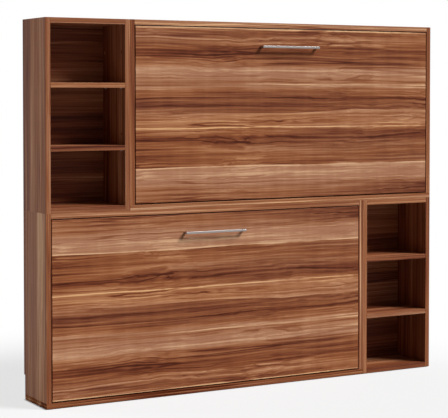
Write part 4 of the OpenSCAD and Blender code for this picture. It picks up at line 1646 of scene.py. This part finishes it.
def lengthwise(points):
    """A turned solid's direction, its middle, and its (height, radius) outline along it."""
    low, high = points.min(0), points.max(0)
    extent = high - low
    gaps = [abs(extent[(i + 1) % 3] - extent[(i + 2) % 3]) for i in range(3)]
    axis = int(np.argmin(gaps))
    others = [(axis + 1) % 3, (axis + 2) % 3]
    middle = (low + high) / 2
    heights = points[:, axis] - middle[axis]
    away = points - middle
    radii = np.hypot(away[:, others[0]], away[:, others[1]])
    steps = []
    for height in sorted(set(np.round(heights, 5))):
        near = np.abs(heights - height) < HEIGHT_STEP
        found = sorted({round(float(r), 4) for r in radii[near] if r > LEAST_RADIUS})
        kept = [r for i, r in enumerate(found) if i == 0 or r - found[i - 1] > RADIUS_STEP]
        if steps and len(kept) > 1 and abs(kept[-1] - steps[-1][1]) < RADIUS_STEP:
            kept = kept[::-1]
        steps += [(float(height), r) for r in kept]
    way = Vector(tuple(1.0 if i == axis else 0.0 for i in range(3)))
    return way, Vector(middle), steps


def driven_profile(steps, kind, rim):
    """A fastener's rings: its outline with eased rims, and a drive recess in each head."""
    shank = min(r for _, r in steps)
    rings = [(max(r, LEAST_RING), height) for height, r in steps]
    eased = []
    for i, (r, height) in enumerate(rings):
        if i == 0:
            eased += [(r - rim, height), (r - rim * 0.3, height + rim * 0.3), (r, height + rim)]
        elif i == len(rings) - 1:
            eased += [(r, height - rim), (r - rim * 0.3, height - rim * 0.3), (r - rim, height)]
        else:
            eased.append((r, height))
    eased = [(r, height, ROUND) for r, height in eased]
    alone = all(abs(r - shank) < LEAST_RING for _, r in steps)
    for end, way in ((0, 1), (-1, -1)):
        r, height = steps[end][1], steps[end][0]
        if r > shank + RADIUS_STEP or alone:
            reach = r * (HEXAGON_WIDTH if kind == HEXAGON else CROSS_WIDTH)
            deep = min(r * RECESS_DEPTH, DEEPEST_RECESS) * way
            recess = [
                (reach * 1.08, height, kind),
                (reach, height + deep * 0.15, kind),
                (reach * 0.9, height + deep, kind),
            ]
            eased = recess[::-1] + eased if end == 0 else eased + recess
    return eased


# The turned nodes and the kind of their drive recess
FASTENERS = (
    ("cabinet_screws", CROSS),
    ("cam_fittings", CROSS),
    ("module_bolts", HEXAGON),
    ("pivot_bolts", HEXAGON),
    ("stop_pins", HEXAGON),
    ("lower_frame_screws", HEXAGON),
    ("upper_frame_screws", HEXAGON),
)


class WALLBED_OT_fasteners(bpy.types.Operator):
    """Screws, bolts and cam locks with their drive recesses, each turned its own way"""

    bl_idname = "wallbed.fasteners"
    bl_label = "Fasteners"

    rim: size("Rim", "Radius of the heads' rims", 0.0004)

    def execute(self, context):
        for seed, (node, kind) in enumerate(FASTENERS):
            groups = {}
            for points in solids(node):
                way, middle, steps = lengthwise(points)
                if steps[0][1] > steps[-1][1]:
                    way = -way
                    steps = [(-height, r) for height, r in reversed(steps)]
                key = tuple((round(height, 4), round(r, 4)) for height, r in steps)
                groups.setdefault(key, (steps, []))[1].append((middle, way))
            meshes = [
                set_out(turned(driven_profile(steps, kind, self.rim)), places, zinc_steel(), seed)
                for steps, places in groups.values()
            ]
            mesh = shaded(joined(meshes, node))
            add_piece(f"{node}_steel", mesh, [zinc_steel()], body_of(node), [node])
        return {"FINISHED"}


class WALLBED_OT_covers(bpy.types.Operator):
    """Cover caps in the decor over the ends of the bolts that join the cabinets"""

    bl_idname = "wallbed.covers"
    bl_label = "Bolt covers"

    thickness: size("Thickness", "Thickness of a cover cap", 0.0005)
    lap: size("Lap", "How far a cap reaches past the bolt's end", 0.0015)

    def execute(self, context):
        places = []
        for points in solids("module_bolts"):
            way, middle, steps = lengthwise(points)
            reach, radius = steps[-1]
            places += [(middle + way * reach, way), (middle - way * reach, -way)]
        outer = radius + self.lap
        half = self.thickness / 2
        profile = [(outer, 0, ROUND), (outer, half, ROUND), (outer - half, self.thickness, ROUND)]
        mesh = set_out(turned(profile), places, walnut_along(), seed=3)
        mesh.shade_smooth()
        add_piece("bolt_covers", mesh, [], "cabinet")
        return {"FINISHED"}


class WALLBED_OT_fittings(bpy.types.Operator):
    """Pivot plates, brackets, shelf pins, wall plates, buffers and glides"""

    bl_idname = "wallbed.fittings"
    bl_label = "Fittings"

    def execute(self, context):
        edge = metal().edge
        for node in ("pivot_plates", "strut_brackets", "shelf_pins", "wall_plates"):
            eased_piece(node, "steel", zinc_steel(), "zinc_steel", edge)
        eased_piece("rubber_stops", "rubber", rubber(), "rubber", edge * 2)
        eased_piece("floor_glides", "plastic", black_plastic(), "black_plastic", edge)
        return {"FINISHED"}


# ---- Stage ----


FLOOR_REACH = 30  # metres from its middle to its sides
VIEW_END = 100  # metres


class WALLBED_OT_stage(bpy.types.Operator):
    """Pale floor, white background, two broad lamps and the camera"""

    bl_idname = "wallbed.stage"
    bl_label = "Stage"

    def execute(self, context):
        settings = context.scene.wall_bed_stage
        context.scene.view_settings.view_transform = "Standard"
        low, high = CAD_BOX
        height = high[2] - low[2]
        corner = Vector((low[0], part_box("lower_front_panel")[0].y, low[2]))
        self.camera(context, settings, corner, height)
        self.lamp("Key", settings.key, settings.key_spread, settings.key_from)
        self.lamp("Rear", settings.rear, settings.rear_spread, settings.rear_from)
        self.world(context, settings)
        self.floor(settings)
        return {"FINISHED"}

    def camera(self, context, settings, corner, height):
        data = bpy.data.cameras.new("Camera")
        data.lens = settings.lens
        data.shift_y = settings.shift
        data.clip_end = VIEW_END
        camera = bpy.data.objects.new("Camera", data)
        camera.location = corner + Vector(settings.eye) * height
        camera.rotation_euler = (math.radians(90) - settings.tip, 0, settings.turn)
        context.scene.collection.objects.link(camera)
        context.scene.camera = camera

    def lamp(self, name, strength, angle, towards):
        """A broad lamp that stands in a direction from the bed."""
        data = bpy.data.lights.new(name, "SUN")
        data.energy = strength
        data.angle = angle
        lamp = bpy.data.objects.new(name, data)
        lamp.rotation_euler = Vector(towards).to_track_quat("Z", "Y").to_euler()
        bpy.context.scene.collection.objects.link(lamp)

    def world(self, context, settings):
        world = bpy.data.worlds.new("World")
        world.use_nodes = True
        context.scene.world = world
        g = Graph(world.node_tree)
        background = world.node_tree.nodes["Background"]
        background.inputs["Color"].default_value = (1, 1, 1, 1)
        paths = g.add("ShaderNodeLightPath").outputs
        strength = g.math("MULTIPLY_ADD", paths["Is Glossy Ray"], settings.mirrored, settings.fill)
        strength = g.math("MAXIMUM", strength, paths["Is Camera Ray"])
        g.link(strength, background.inputs["Strength"])

    def outside_cabinets(self, g, at, width):
        """0 under the cabinets, where the floor lies in their shade, and 1 outside them."""
        low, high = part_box("lower_bed_bottom")
        low, high = (CAD_BOX[0][0], low.y), (CAD_BOX[1][0], high.y)
        axes = g.axes(at)
        beyond = 0.0
        for i in range(2):
            beyond = g.math("MAXIMUM", beyond, g.math("SUBTRACT", low[i], axes[i]))
            beyond = g.math("MAXIMUM", beyond, g.math("SUBTRACT", axes[i], high[i]))
        return g.span(beyond, 0.0, width)

    def floor(self, settings):
        bm = bmesh.new()
        bmesh.ops.create_grid(bm, x_segments=8, y_segments=8, size=FLOOR_REACH)
        floor = bpy.data.objects.new("Floor", plain_mesh(bm, "Floor"))
        bpy.context.scene.collection.objects.link(floor)
        material, g, shader, at = new_material("Floor", Roughness=0.9)
        paths = g.add("ShaderNodeLightPath").outputs
        seen = g.math("MULTIPLY", paths["Is Glossy Ray"], settings.mirrored)
        seen = g.math("ADD", seen, paths["Is Camera Ray"], clamp=True)
        body = g.mix(seen, settings.floor, settings.pale)
        g.link(body, shader.inputs["Base Color"])
        distance = g.add("ShaderNodeVectorMath", {0: at, 1: settings.middle}, operation="DISTANCE")
        reach = (distance.outputs["Value"], settings.fade_start, settings.fade_end)
        fade = g.span(*reach, 1 - settings.seen, 1.0, smooth=True)
        fade = g.math("MULTIPLY", fade, self.outside_cabinets(g, at, settings.contact))
        # Painted soft shade round the bed: the floor's white glows dimmer near the middle
        pale = g.span(*reach, settings.painted_shade_white, 1.0, smooth=True)
        white = g.add("ShaderNodeEmission", {"Color": (1, 1, 1, 1), "Strength": pale})
        mixed = g.add("ShaderNodeMixShader", {0: g.math("MULTIPLY", fade, seen)})
        g.link(shader.outputs[0], mixed.inputs[1])
        g.link(white.outputs[0], mixed.inputs[2])
        output = material.node_tree.nodes["Material Output"]
        g.link(mixed.outputs[0], output.inputs["Surface"])
        floor.data.materials.append(material)


# ---- Registration ----

OPERATORS = (
    WALLBED_OT_stage,
    WALLBED_OT_boards,
    WALLBED_OT_fronts,
    WALLBED_OT_handles,
    WALLBED_OT_frames,
    WALLBED_OT_slats,
    WALLBED_OT_mattresses,
    WALLBED_OT_straps,
    WALLBED_OT_struts,
    WALLBED_OT_guard,
    WALLBED_OT_fasteners,
    WALLBED_OT_covers,
    WALLBED_OT_fittings,
)


class WALLBED_PT_panel(bpy.types.Panel):
    """Lists the wall bed's pieces in the order in which they are made"""

    bl_idname = "WALLBED_PT_panel"
    bl_label = "Wall Bed"
    bl_space_type = "VIEW_3D"
    bl_region_type = "UI"
    bl_category = "Wall Bed"

    def draw(self, context):
        for operator in OPERATORS:
            self.layout.operator(operator.bl_idname)
        for name in SETTINGS:
            settings = getattr(context.scene, name)
            box = self.layout.box()
            for label in settings.bl_rna.properties.keys():
                if label not in ("rna_type", "name"):
                    box.prop(settings, label)


CLASSES = (*SETTINGS.values(), *OPERATORS, WALLBED_PT_panel)


def register():
    for item in CLASSES:
        bpy.utils.register_class(item)
    for name, group in SETTINGS.items():
        setattr(bpy.types.Scene, name, PointerProperty(type=group))


def unregister():
    for name in SETTINGS:
        delattr(bpy.types.Scene, name)
    for item in reversed(CLASSES):
        bpy.utils.unregister_class(item)


def main():
    register()
    for operator in OPERATORS:
        group, name = operator.bl_idname.split(".")
        getattr(getattr(bpy.ops, group), name)()


if __name__ == "__main__":
    main()
